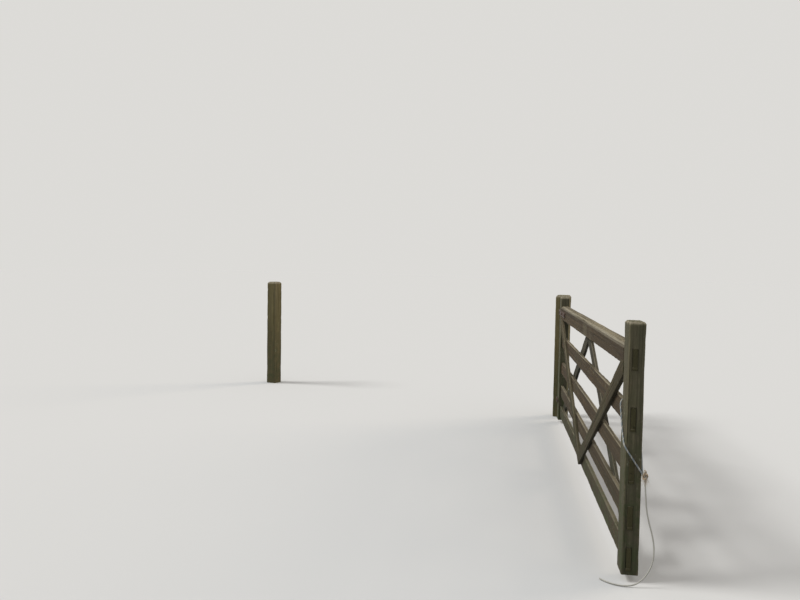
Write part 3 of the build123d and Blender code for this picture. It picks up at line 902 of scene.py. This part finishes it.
def strand_tube(line, diameter, pitch, towards, thin=1.0):
    """Three strands laid up round a line: the radius at angle a is R (0.83 + 0.17 |cos 1.5 (a - p)|),
    where the lay's angle p grows by a full turn every pitch. towards gives a direction across the
    line at every point. Returns the points, quads, triangles and what the finish reads."""
    sides = 18
    ahead = unit(np.gradient(line, axis=0))
    side = unit(towards - (towards * ahead).sum(1)[:, None] * ahead)
    other = np.cross(ahead, side)
    run = run_along(line)
    angle = np.arange(sides) / sides * 2 * math.pi
    lay = 1.5 * (angle[None] - run[:, None] / pitch * 2 * math.pi)
    lobe = np.abs(np.cos(lay))
    radius = diameter / 2 * (0.83 + 0.17 * lobe) * (np.ones(len(line)) * thin)[:, None]
    rings = (line[:, None] + radius[..., None] * (
        np.cos(angle)[None, :, None] * side[:, None] + np.sin(angle)[None, :, None] * other[:, None]))
    quads, tris = closed_faces(len(line), sides)
    places = np.dstack([np.repeat(run[:, None], sides, 1), lay, lay * 0]).reshape(-1, 3)
    facts = {
        "strand": for_all(np.mod(np.floor(lay / math.pi + 0.5), 3) / 3),
        "hollow": for_all(1 - step_up(lobe, 0.0, 0.45)),
        "lay": np.concatenate([places, [[0, 0, 0], [run[-1], 0, 0]]]),
    }
    return np.concatenate([rings.reshape(-1, 3), line[[0, -1]]]), quads.reshape(-1, 4), tris, facts


def fibres(starts, ways, length, droop, width):
    """Loose fibres: each leaves its start along its way, and bends down as the square of how far
    it has gone. Each is a three-sided sliver that thins to its tip."""
    count, steps, corners = len(starts), 7, 3
    t = np.linspace(0, 1, steps)[None, :, None]
    line = (starts[:, None] + ways[:, None] * t * length[:, None, None]
            + np.array([0, 0, -1]) * t**2 * droop[:, None, None])
    across = unit(np.cross(ways, (0.3, 0.2, 1.0)))
    other = np.cross(ways, across)
    size = width * (1 - 0.75 * t)
    turns = np.arange(corners) * 2 * math.pi / corners
    rings = np.stack([
        line + size * (math.cos(a) * across[:, None] + math.sin(a) * other[:, None]) for a in turns], 2)
    points = rings.reshape(-1, 3)
    index = np.arange(len(points)).reshape(count, steps, corners)
    tris = np.concatenate([index[:, 0, ::-1], index[:, -1]])
    facts = {
        "strand": np.repeat(np.arange(count) % 3 / 3, steps * corners),
        "hollow": np.zeros(len(points)), "lay": points * 20}
    return points, quads_between(index).reshape(-1, 4), tris, facts


def joined(*parts):
    """Several surfaces as one: their points, quads, triangles and facts."""
    counts = np.cumsum([0] + [len(p[0]) for p in parts])
    return (
        np.concatenate([p[0] for p in parts]),
        np.concatenate([p[1] + n for p, n in zip(parts, counts)]),
        np.concatenate([p[2] + n for p, n in zip(parts, counts)]),
        {k: np.concatenate([p[3][k] for p in parts]) for k in parts[0][3]},
    )


def knot_and_tuft(twine):
    """The knot fills its CAD node's box with one trefoil, whose u, v, z are 0.9 sin 3t,
    (2 + cos 3t) sin 2t / 3 and (2 + cos 3t) cos 2t / 3, and a tuft of frayed fibres hangs from it."""
    low, high = gate_box("twine_knot")
    centre, half = (low + high) / 2, (high - low) / 2
    t = np.linspace(0, 2 * math.pi, 200, endpoint=False)
    out = 2 + np.cos(3 * t)
    shape = np.column_stack([np.sin(3 * t) * 0.9, out * np.sin(2 * t) / 3, out * np.cos(2 * t) / 3])
    route = shape * (half - twine.diameter * 0.45) + centre
    line = from_gate(np.concatenate([route, route[:1]]))
    knot = strand_tube(line, twine.diameter * 1.15, twine.pitch, line - from_gate(centre[None]) + 1e-4)
    pick = np.random.default_rng(5)
    count, fibre_width = 150, 0.0004
    ways = unit(np.column_stack([
        pick.normal(0.25, 0.30, count), pick.normal(-0.15, 0.30, count), pick.normal(-0.75, 0.35, count)]))
    base = centre + pick.normal(0, 1, (count, 3)) * half * (0.30, 0.30, 0.45)
    length, droop = pick.uniform(0.014, 0.034, count), pick.uniform(0.006, 0.022, count)
    return joined(knot, fibres(from_gate(base), ways @ gate_axes, length, droop, fibre_width))


class FIELDGATE_OT_twine(Step, bpy.types.Operator):
    """Tie the twine round the head stile, with its knot and its loose end"""

    bl_idname = "fieldgate.twine"
    bl_label = "Twine"

    def execute(self, context):
        twine = context.scene.field_gate_twine
        blue, white = twine.blue_colour, twine.white_colour
        faded = finish_named("faded_blue_twine", twine_finish, first=blue, second=white, share=0.55)
        plain = finish_named("dirty_white_twine", twine_finish, first=white, second=blue, share=0.9)
        frayed = finish_named(
            "frayed_twine", twine_finish, first=twine.frayed_colour, second=white, share=0.6)
        low, high = gate_box("head_stile")
        corner = np.array([high[0], 0.0, 0.0])

        tail_line = smooth_line("tail_line", from_gate(corner + np.array(tail_route)))
        along_gate = np.repeat(gate_axes[:1], len(tail_line), 0)
        end_share = 0.94
        thin = np.linspace(1, end_share, len(tail_line))
        tail = add_mesh(
            "twine_end", *strand_tube(tail_line, twine.diameter, twine.pitch, along_gate, thin))
        settle(tail, "gate", "twine", plain, "twine_tail")

        loop_line = smooth_line("loop_line", from_gate(corner + np.array(loop_route)))
        loop_height = 0.72
        middle = from_gate([[(low[0] + high[0]) / 2, 0.0, loop_height]])
        loop = add_mesh(
            "twine_turn", *strand_tube(loop_line, twine.diameter, twine.pitch, loop_line - middle))
        settle(loop, "gate", "twine", faded, "twine_loop")

        knot = add_mesh("twine_knot_turns", *knot_and_tuft(twine))
        settle(knot, "gate", "twine", frayed, "twine_knot")

        return {"FINISHED"}


# Posts and stiles


class FIELDGATE_OT_posts(Step, bpy.types.Operator):
    """Make the two square posts, with weathered tops and drying cracks"""

    bl_idname = "fieldgate.posts"
    bl_label = "Posts"

    def execute(self, context):
        timber = context.scene.field_gate_timber
        finish = finish_named(
            "weathered_post", timber_finish, heart=timber.post_colour, silvered=0.42, tan=0.45,
            algae=0.70, furrowed=0.60)
        arris, crack_half, hollow = 0.0055, 0.0022, 0.0006
        first_ring, last_ring = 0.012, 0.030
        for number, name in enumerate(("hanging_post", "clapping_post")):
            low, high = (np.array(corner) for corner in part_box(name))
            size, seed = high - low, timber.seed + 40 + number * 9
            plan = crack_plan(
                seed, sides=[0, 1, 2, 3], reach=size[0] / 2 - 0.02, length=size[2], count=9,
                half=crack_half, margin=0.03)
            around = with_cracks(size[0], size[1], arris, timber.cell, plan, crack_half)
            even = np.arange(first_ring, size[2] - last_ring, timber.ring_step)
            levels = np.concatenate([[0], even, [size[2]]])
            post = Timber(around, square_across(levels), sawn_foot, post_top, seed)
            post.raise_grain(timber.relief * 1.5, hollow)
            post.open_cracks(plan, 0.0)
            foot = np.array([(low[0] + high[0]) / 2, (low[1] + high[1]) / 2, low[2]])
            place_timber(
                name, name + "_timber", post, lambda p: upright(p, foot), "post_timber", finish,
                pith=(0.011 - 0.02 * number, 0.014), wet=(0.06, 0.95), spots=iron_spots())
        return {"FINISHED"}


# Long splits in each stile's outer edge: place across it, start, stop and depth
stile_splits = ((0.029, 0.10, 0.52, 0.007), (0.031, 0.62, 1.08, 0.008))


def mortises_of(wedges, inner_u, outer_u, gap):
    """Each rail's mortise in a stile, highest rail first: the z of its sloping floor at the stile's
    inner and outer face, gap below its wedge, and of its top, gap above the tenon."""
    # How far past the stile's inner face only the tip of the top rail's tenon is left
    tip_depth = 0.1
    mortises = []
    for number, rail in enumerate(rail_names, start=1):
        wedge, tenon = node_points(f"{wedges}_{number}"), node_points(rail)
        on_inner = touching(wedge[:, 0], inner_u)
        floor_in = wedge[on_inner, 2].min() - gap
        reach = (wedge[~on_inner, 0] - inner_u).mean() / (outer_u - inner_u)
        floor_out = floor_in + (wedge[~on_inner, 2].min() - gap - floor_in) / reach
        if rail == "top_rail":
            tenon = tenon[(tenon[:, 0] - inner_u) * np.sign(outer_u - inner_u) > tip_depth]
        mortises.append((floor_in, floor_out, tenon[:, 2].max() + gap))
    return mortises


def stile_levels(low, high, mortises, spacing, leads):
    """The z of every ring of a stile on its inner and its outer face. Rings lie on the mortises'
    edges on both faces, and in between they are evenly spaced. Also the ring numbers of each
    mortise's floor and top."""
    ends = [(low + leads[0],) * 2]
    for floor_in, floor_out, top in sorted(mortises):
        ends += [(floor_in, floor_out), (top, top)]
    ends.append((high - leads[1],) * 2)
    inner, outer, rows = [low], [low], []
    for (a_in, a_out), (b_in, b_out) in zip(ends, ends[1:]):
        count = max(1, round((b_in - a_in) / spacing))
        t = np.arange(count) / count
        rows.append(len(inner))
        inner += list(a_in + (b_in - a_in) * t)
        outer += list(a_out + (b_out - a_out) * t)
    rows.append(len(inner))
    inner += [ends[-1][0], high]
    outer += [ends[-1][1], high]
    return np.array(inner), np.array(outer), list(zip(rows[1:-1:2], rows[2:-1:2]))


def cut_mortises(stile, rows, edges):
    """A stile's side faces with its mortises open. rows gives each one's first and last ring, and
    edges its two places across the sides 1 and 3, which walls join through the stile. The
    mortises' upright edges are shaded like the ends of a crack."""
    quads, _ = stile.faces()
    keep = np.ones(quads.shape[:2], bool)
    index = np.arange(stile.crack.size).reshape(stile.crack.shape)
    right = np.arange(stile.column(1, edges[0]), stile.column(1, edges[1]) + 1)
    left = np.arange(stile.column(3, -edges[0]), stile.column(3, -edges[1]) - 1, -1)
    lip_shade = 0.38
    walls = []
    for floor, top in np.array(rows) + stile.first - 1:
        keep[floor:top, right[0]:right[-1]] = False
        keep[floor:top, left[-1]:left[0]] = False
        near, far = (np.concatenate([
            index[floor, c], index[floor + 1:top + 1, c[-1]], index[top, c[::-1]][1:],
            index[floor + 1:top, c[0]][::-1]]) for c in (right, left))
        walls.append(np.column_stack([near, np.roll(near, -1), np.roll(far, -1), far]))
        stile.crack[floor:top + 1, [right[0], right[-1], left[0], left[-1]]] = lip_shade
    return np.concatenate([quads[keep], *walls])


def drop_loose(mesh):
    """Takes out the points that no face uses, and turns every face outwards."""
    shell = bmesh.new()
    shell.from_mesh(mesh)
    loose = [v for v in shell.verts if not v.link_faces]
    bmesh.ops.delete(shell, geom=loose, context="VERTS")
    bmesh.ops.recalc_face_normals(shell, faces=shell.faces)
    shell.to_mesh(mesh)
    shell.free()


class FIELDGATE_OT_stiles(Step, bpy.types.Operator):
    """Make the two stiles, with a through mortise for every rail"""

    bl_idname = "fieldgate.stiles"
    bl_label = "Stiles"

    def execute(self, context):
        """Here s is z, w is u and h is v, so a stile's sides 1 and 3 hold the mortises."""
        timber = context.scene.field_gate_timber
        finish = finish_named(
            "weathered_stile", timber_finish, heart=timber.stile_colour, silvered=0.40, tan=0.22,
            algae=0.85, furrowed=0.45)
        gap, arris, crack_half, hollow = timber.mortise_gap, 0.0052, 0.0018, 0.0004
        rail_low, rail_high = gate_box("second_rail")
        stiles = (("hanging_stile", "heel_wedge"), ("head_stile", "head_wedge"))
        for number, (name, wedges) in enumerate(stiles):
            low, high = gate_box(name)
            size, seed = high - low, timber.seed + 60 + number * 7
            middle = np.array([*(low + high)[:2] / 2, 0.0])
            outer_side, outward = (1, 1) if number else (3, -1)
            inner_u, outer_u = (low[0], high[0]) if number else (high[0], low[0])
            edges = (rail_low[1] - gap - middle[1], rail_high[1] + gap - middle[1])
            plan = crack_plan(
                seed, sides=[0, 2], reach=size[0] / 2 - 0.02, length=size[2], count=8,
                half=crack_half, margin=0.03)
            plan += [(outer_side, outward * place, *rest) for place, *rest in stile_splits]
            around = with_cracks(
                size[0], size[1], arris, timber.cell, plan, crack_half,
                ((), edges, (), tuple(-e for e in edges)))
            inner, outer, rows = stile_levels(
                low[2], high[2], mortises_of(wedges, inner_u, outer_u, gap),
                spacing=timber.ring_step * 0.8, leads=(0.012, 0.022))
            start, run = inner_u - middle[0], outer_u - inner_u
            stile = Timber(
                around, lambda w: inner[:, None] + (outer - inner)[:, None] * (w - start) / run,
                eased(0.0015), stile_top, seed)
            stile.raise_grain(timber.relief * 1.4, hollow)
            stile.open_cracks(plan, low[2])
            sides = cut_mortises(stile, rows, edges)
            made = place_timber(
                name, name + "_timber", stile, lambda p: from_gate(upright(p, middle)),
                "gate_timber", finish, pith=(0.02 - 0.05 * number, -0.012 + 0.03 * number),
                wet=(0.05, 1.60), spots=iron_spots(), sides=sides)
            drop_loose(made.data)
        return {"FINISHED"}


# Boards


def outline_of(name):
    """A board's outline as u, z corners in order round their middle."""
    corners = np.unique(np.round(node_points(name)[:, [0, 2]], 5), axis=0)
    middle = corners.mean(0)
    return corners[np.argsort(np.arctan2(*(corners - middle).T[::-1]))]


def fibre_frame(corners):
    """From u, z corners: the longest edge's direction, the one across it, a point on the outline's
    middle line where it starts, and the outline's width."""
    runs = np.roll(corners, -1, axis=0) - corners
    run = runs[np.linalg.norm(runs, axis=1).argmax()]
    run = run / np.linalg.norm(run) * (1 if run[0] > 0 else -1)
    side = np.array([-run[1], run[0]])
    s, w = corners @ run, corners @ side
    origin = run * s.min() + side * (w.min() + w.max()) / 2
    return run, side, origin, w.max() - w.min()


def chord_ends(corners, run, side, origin):
    """A function of w: where a line along the fibres enters and leaves the convex outline. On
    every edge s is a straight-line function of w, and the chord runs from the largest of those
    that face back to the smallest of those that face on."""
    flat = np.column_stack([(corners - origin) @ run, (corners - origin) @ side])
    after = np.roll(flat, -1, axis=0)
    if ((flat[:, 0] * after[:, 1]) - (after[:, 0] * flat[:, 1])).sum() < 0:
        flat, after = after[::-1], flat[::-1]
    slant = ~touching(after[:, 1], flat[:, 1])
    a, b = flat[slant], after[slant]
    rate = (b[:, 0] - a[:, 0]) / (b[:, 1] - a[:, 1])
    on = b[:, 1] > a[:, 1]

    def ends(w):
        s = a[:, 0] + (w[:, None] - a[:, 1]) * rate
        return np.where(on, -np.inf, s).max(1), np.where(on, s, np.inf).min(1)

    return ends


def make_board(name, finish, slot, seed, spots, cracks, proud=0.0, wet=(0.05, 0.9), bow=0.0):
    """A sawn board from its CAD node: rings along the fibres between the outline's two ends, with
    end corners eased by 1 mm. proud thickens it towards +v; bow bends it between its ends."""
    timber = bpy.context.scene.field_gate_timber
    corners = outline_of(name)
    low, high = gate_box(name)
    run, side, origin, width = fibre_frame(corners)
    ends = chord_ends(corners, run, side, origin)
    start, stop = (float(e[0]) for e in ends(np.zeros(1)))
    length = stop - start
    plan = crack_plan(
        seed, sides=[0, 2], reach=width / 2 - 0.012, length=length, count=cracks, half=board_crack,
        margin=0.16)
    around = with_cracks(
        width, high[1] - low[1] + proud, timber.arris, timber.cell, plan, board_crack)
    t = np.linspace(0, 1, max(4, round(length / timber.ring_step)) + 1)[:, None]

    def stations(w):
        enter, leave = ends(w)
        return enter + (leave - enter) * t

    board = Timber(around, stations, eased(0.0010), eased(0.0010), seed)
    board.raise_grain(timber.relief)
    board.open_cracks(plan, start)
    middle, straight = (low[1] + high[1] + proud) / 2, 0.13

    def to_model(p):
        share = np.clip((p[:, 0] - start - straight) / (length - 2 * straight), 0, 1)
        lift = bow * np.sin(share * math.pi) ** 2
        flat = origin + p[:, :1] * run + (p[:, 1:2] + lift[:, None]) * side
        return from_gate(np.column_stack([flat[:, 0], p[:, 2] + middle, flat[:, 1]]))

    pick = np.random.default_rng(seed)
    pith = (float(pick.uniform(-0.02, 0.02)), float(pick.choice([-1, 1]) * pick.uniform(0.035, 0.075)))
    place_timber(name, name + "_board", board, to_model, slot, finish, pith, wet, spots)


class FIELDGATE_OT_rails(Step, bpy.types.Operator):
    """Make the four plain rails, which run through both stiles"""

    bl_idname = "fieldgate.rails"
    bl_label = "Rails"

    def execute(self, context):
        timber = context.scene.field_gate_timber
        finish = finish_named(
            "weathered_rail", timber_finish, heart=timber.rail_colour, silvered=0.16, tan=0.85,
            algae=0.80, tops=0.5)
        bows = (-0.0012, 0.0010, -0.0016, 0.0008)
        for number, (name, bow) in enumerate(zip(rail_names[1:], bows)):
            make_board(name, finish, "gate_timber", timber.seed + 3 * number, nail_spots(), 12,
                       wet=(0.02, 0.42), bow=bow)
        return {"FINISHED"}


class FIELDGATE_OT_braces(Step, bpy.types.Operator):
    """Make the two falling and the two rising braces"""

    bl_idname = "fieldgate.braces"
    bl_label = "Braces"

    def execute(self, context):
        timber = context.scene.field_gate_timber
        pairs = (
            ("falling", falling_braces, timber.falling_colour, 0.60, falling_proud),
            ("rising", rising_braces, timber.rising_shaded_colour, 0.25, 0.0))
        for step, (kind, names, heart, tan, proud) in enumerate(pairs):
            finish = finish_named(
                f"weathered_{kind}_brace", timber_finish, heart=heart, silvered=0.12, tan=tan,
                algae=0.30, bleach=0.45)
            for number, name in enumerate(names):
                seed = timber.seed + 20 + 10 * step + 5 * number
                make_board(name, finish, "brace_timber", seed, nail_spots(), 7, proud)
        return {"FINISHED"}


class FIELDGATE_OT_wedges(Step, bpy.types.Operator):
    """Drive the wedges in under the tenons"""

    bl_idname = "fieldgate.wedges"
    bl_label = "Wedges"

    def execute(self, context):
        """Each wedge's thickness grows evenly along u, outwards; its upper side is level."""
        timber = context.scene.field_gate_timber
        finish = finish_named(
            "weathered_wedge", timber_finish, heart=timber.rail_colour, silvered=0.20, tan=0.60,
            algae=0.30)
        names = [f"{end}_wedge_{k}" for end in ("heel", "head") for k in range(1, 6)]
        arris, spacing, play, relief = 0.0009, 0.0045, 0.0002, 0.0002
        for number, name in enumerate(names):
            at_head = name.startswith("head")
            points, (low, high) = node_points(name), gate_box(name)
            thin_end = touching(points[:, 0], (low if at_head else high)[0])
            thin, thick = high[2] - points[thin_end, 2].min(), high[2] - low[2]
            long, middle = high[0] - low[0], (low[1] + high[1]) / 2
            wedge = Timber(
                section(thick, high[1] - low[1] - 3 * play, arris, spacing),
                square_across(np.linspace(0, long, 12)), eased(0.0006), eased(0.0006),
                timber.seed + 90 + number)
            wedge.raise_grain(relief)

            def to_model(p):
                share = p[:, 0] / long if at_head else 1 - p[:, 0] / long
                here = thin + (thick - thin) * share
                z = high[2] - play - (thick / 2 - p[:, 1]) * here / thick
                return from_gate(np.column_stack([low[0] + p[:, 0], p[:, 2] + middle, z]))

            place_timber(
                name, name + "_timber", wedge, to_model, "wedge_timber", finish,
                pith=(0.03, 0.04), wet=(0.05, 0.9), spots=())
        return {"FINISHED"}


# The top rail


# Two paler patches on its +v face: u of each one's middle, half its length, strength
pale_patches = ((2.030, 0.115, 1.0), (2.295, 0.070, 0.4))
# The radius of its small arrises
top_rail_arris = 0.003
# Its drying cracks: side, place across it, start and stop from the heel, and depth
top_rail_cracks = (
    (0, -0.012, 0.5, 1.5, 0.006), (2, 0.020, 0.25, 0.95, 0.006), (2, -0.004, 1.9, 3.1, 0.007),
    (1, 0.010, 0.7, 1.9, 0.007), (1, -0.022, 2.2, 3.2, 0.006), (2, -0.030, 2.4, 2.9, 0.005),
)


def bevelled(around, depth, half, bevels):
    """A section with its two upper arrises cut off at 45 degrees: every point that is further out
    than a bevel's flat is moved straight in onto it."""
    spots, outs, worn = around
    for bevel, sign in zip(bevels, (1, -1)):
        up = spots[:, 0] - depth / 2
        over = np.clip(sign * spots[:, 1] - (half - bevel) + up + bevel, 0, None) / 2
        cut = over > bevel / 2
        worn = np.where(cut, 1.0, worn)
        move = np.where(cut, over - bevel / 2, 0.0)
        spots = spots - np.column_stack([move, sign * move])
    return spots, outs, worn


class FIELDGATE_OT_top_rail(Step, bpy.types.Operator):
    """Make the top rail: deepest at the heel, bevelled on top, with a tenon at each end"""

    bl_idname = "fieldgate.top_rail"
    bl_label = "Top rail"

    def execute(self, context):
        """The section's upper part keeps its place below the top; its lower part is stretched to the
        sloping underside. The tenons are the same ring held within the tenon's rectangle. Here w is
        z from the section's middle and h is v: side 0 faces -v, 1 up, 2 +v and 3 down."""
        timber = context.scene.field_gate_timber
        finish = finish_named(
            "weathered_top_rail", timber_finish, heart=timber.rail_colour, silvered=0.20, tan=0.30,
            algae=0.30)
        points, (low, high) = node_points("top_rail"), gate_box("top_rail")
        heel_u, head_u = gate_box("hanging_stile")[1][0], gate_box("head_stile")[0][0]
        half = high[1]
        on_top = points[touching(points[:, 2], high[2])]
        bevels = (half - on_top[:, 1].max(), half + on_top[:, 1].min())
        tips = [points[touching(points[:, 0], u)] for u in (low[0], high[0])]
        tenons = [(t[:, 1:].min(0), t[:, 1:].max(0)) for t in tips]
        bottoms = [t[0][1] for t in tenons]
        depth = high[2] - bottoms[0]
        around = bevelled(
            with_cracks(depth, 2 * half, top_rail_arris, timber.cell, top_rail_cracks, board_crack),
            depth, half, bevels)
        # How far in from a tenon's tip its next ring lies, how deep the part is that keeps its place,
        # and the depth over which the painted shade under the bevels fades
        inside, kept_depth, drip_reach = 0.06, 0.03, 0.026
        u = np.concatenate([
            [low[0], low[0] + inside, heel_u, heel_u],
            np.linspace(heel_u, head_u, round((head_u - heel_u) / timber.ring_step))[1:-1],
            [head_u, head_u, high[0] - inside, high[0]]])
        rail = Timber(around, square_across(u), tenon_end, tenon_end, timber.seed + 31)
        rail.raise_grain(timber.relief * 1.3)
        rail.open_cracks(top_rail_cracks, heel_u)
        rows = np.arange(len(rail.grid))
        held_rows = (rows < rail.first + 2, rows >= rail.last - 2)
        end_rows = ((0, 1, 2), (-1, -2, -3))
        middle_z, bend_z = high[2] - depth / 2, high[2] - kept_depth

        def to_model(p):
            grid = p[:-2].reshape(rail.grid.shape)
            slope = np.clip((grid[..., 0] - heel_u) / (head_u - heel_u), 0, 1)
            bottom = bottoms[0] + (bottoms[1] - bottoms[0]) * slope
            stretch = (bend_z - bottom) / (bend_z - bottoms[0])
            z = grid[..., 1] + middle_z
            z = np.where(z < bend_z, bend_z - (bend_z - z) * stretch, z)
            v = grid[..., 2].copy()
            middles = []
            for held, (corner, far), (*inner, edge) in zip(held_rows, tenons, end_rows):
                v[held] = np.clip(v[held], corner[0], far[0])
                z[held] = np.clip(z[held], corner[1], far[1])
                middle = (corner + far) / 2
                for row, share in zip(inner, inner_rings):
                    v[row] = middle[0] + (v[edge] - middle[0]) * share
                    z[row] = middle[1] + (z[edge] - middle[1]) * share
                middles.append([grid[edge, 0, 0], *middle])
            return from_gate(np.concatenate([np.dstack([grid[..., 0], v, z]).reshape(-1, 3), middles]))

        # Painted shade on both side faces just under the bevels, fading downwards
        out = rail.outs[:, 1]
        under = np.clip(depth / 2 - np.where(out > 0, *bevels) - rail.spots[:, 0], 0, None)
        drip = np.exp(-under / drip_reach) * (np.abs(out) > 0.7)
        pale = sum(strength * np.exp(-((rail.rest[..., 0] - place) / reach) ** 4)
                   for place, reach, strength in pale_patches)
        place_timber(
            "top_rail", "top_rail_timber", rail, to_model, "gate_timber", finish,
            pith=(0.03, -0.05), wet=(0.0, 0.4), spots=np.concatenate([nail_spots(), iron_spots()]),
            drip=for_all(np.tile(drip, len(rail.grid))), pale=for_all(pale * (out > 0.7)))
        return {"FINISHED"}


# Nails and ironwork


def nail_places():
    """Two nails where each brace crosses each plain rail: places u, v, z and the way each faces."""
    places, ways = [], []
    # Half of what lies between the two along u and in z, and how far both keep from a brace's ends
    half_u, half_z, margin = 0.011, 0.0242, 0.03
    for way, names in ((1.0, falling_braces), (-1.0, rising_braces)):
        for name in names:
            run, _, origin, _ = fibre_frame(outline_of(name))
            low, high = gate_box(name)
            face = high[1] + falling_proud if way > 0 else low[1]
            for rail in rail_names[1:]:
                bottom, top = gate_box(rail)
                z = (bottom[2] + top[2]) / 2
                u = origin[0] + (z - origin[1]) / run[1] * run[0]
                for sign in (-1, 1):
                    spot_u = u + sign * half_u
                    if low[0] + margin < spot_u < high[0] - margin:
                        places.append((spot_u, face, z + sign * half_z))
                        ways.append(way)
    return np.array(places), np.array(ways)


def nail_spots():
    """The nails as points of the model, on the braces' outer faces and on the rails under them."""
    places, ways = nail_places()
    brace_thickness = 0.02
    return from_gate(np.concatenate([places, places - np.outer(ways, [0, brace_thickness, 0])]))


class FIELDGATE_OT_nails(Step, bpy.types.Operator):
    """Nail the braces to the rails"""

    bl_idname = "fieldgate.nails"
    bl_label = "Nails"

    def execute(self, context):
        """A nail's head is a low dome on a short shank: rings with these shares of its radius and
        its rise, closed by a point at each end."""
        metal = context.scene.field_gate_metal
        finish = finish_named("rusted_iron_scale", iron_finish)
        places, ways = nail_places()
        radii = np.array([1.0, 1.0, 0.92, 0.70, 0.35])[:, None] * metal.nail_head / 2
        rises = np.array([-1.5, 0.35, 0.72, 0.93, 1.0])[:, None] * metal.nail_rise
        sides = 14
        angle = np.arange(sides) / sides * 2 * math.pi
        rings = np.dstack([radii * np.cos(angle), np.repeat(rises, sides, 1), radii * np.sin(angle)])
        dome = np.concatenate([rings.reshape(-1, 3), [(0, rises[0, 0], 0), (0, rises[-1, 0], 0)]])
        faces = closed_faces(len(radii), sides)
        for label, way in (("falling", 1), ("rising", -1)):
            heads = [(from_gate(place + dome * (1, way, 1)), *faces, {}) for place in places[ways == way]]
            made = add_mesh(f"{label}_brace_nails", *joined(*heads))
            settle(made, "gate", "rusted_iron", finish)
        return {"FINISHED"}


def forged(mesh):
    """A CAD node's mesh, merged, with its flat faces joined."""
    mesh = mesh.copy()
    mesh.materials.clear()
    shell = bmesh.new()
    shell.from_mesh(mesh)
    bmesh.ops.remove_doubles(shell, verts=shell.verts, dist=1e-5)
    bmesh.ops.dissolve_limit(shell, angle_limit=math.radians(1), verts=shell.verts, edges=shell.edges)
    bmesh.ops.recalc_face_normals(shell, faces=shell.faces)
    for face in shell.faces:
        face.smooth = True
    shell.to_mesh(mesh)
    shell.free()
    return mesh


class FIELDGATE_OT_ironwork(Step, bpy.types.Operator):
    """Give the hooks, nuts, bands and bolts forged edges and rust"""

    bl_idname = "fieldgate.ironwork"
    bl_label = "Ironwork"

    def execute(self, context):
        finish = finish_named("rusted_iron_scale", iron_finish)
        kinds = (("posts", "hook"), ("posts", "hook_nut"), ("gate", "hinge_band"), ("gate", "band_bolts"))
        for body, kind in kinds:
            for name in ("top_" + kind, "bottom_" + kind):
                made = add_object(name + "_iron", forged(frame["nodes"][name].data))
                bevel = made.modifiers.new("forged edge", "BEVEL")
                bevel.width, bevel.segments = context.scene.field_gate_metal.forged_edge, 2
                bevel.limit_method, bevel.angle_limit = "ANGLE", math.radians(40)
                bevel.use_clamp_overlap, bevel.harden_normals = True, False
                settle(made, body, "rusted_iron", finish, name)
        return {"FINISHED"}


# The add-on


class FIELDGATE_PT_sidebar(bpy.types.Panel):
    """The gate's settings and steps"""

    bl_idname = "FIELDGATE_PT_sidebar"
    bl_label = "Field Gate"
    bl_space_type = "VIEW_3D"
    bl_region_type = "UI"
    bl_category = "Field Gate"

    def draw(self, context):
        for name in groups:
            group, box = getattr(context.scene, name), self.layout.box()
            for key in group.bl_rna.properties.keys():
                if key not in ("rna_type", "name"):
                    box.prop(group, key)
        for step in steps:
            self.layout.operator(step.bl_idname)


groups = {
    "field_gate_stage": FieldGateStage,
    "field_gate_timber": FieldGateTimber,
    "field_gate_metal": FieldGateMetal,
    "field_gate_twine": FieldGateTwine,
}
steps = (
    FIELDGATE_OT_stage, FIELDGATE_OT_twine, FIELDGATE_OT_posts, FIELDGATE_OT_stiles,
    FIELDGATE_OT_top_rail, FIELDGATE_OT_rails, FIELDGATE_OT_braces, FIELDGATE_OT_wedges,
    FIELDGATE_OT_nails, FIELDGATE_OT_ironwork,
)


def register():
    """Registers the settings, the steps and the panel."""
    for cls in (*groups.values(), *steps, FIELDGATE_PT_sidebar):
        bpy.utils.register_class(cls)
    for key, cls in groups.items():
        setattr(bpy.types.Scene, key, PointerProperty(type=cls))


def unregister():
    """Takes them out again."""
    for key in groups:
        delattr(bpy.types.Scene, key)
    for cls in (FIELDGATE_PT_sidebar, *reversed(steps), *reversed(tuple(groups.values()))):
        bpy.utils.unregister_class(cls)


def main():
    """Registers the add-on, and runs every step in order."""
    register()
    for step in steps:
        space, name = step.bl_idname.split(".")
        getattr(getattr(bpy.ops, space), name)()


if __name__ == "__main__":
    main()
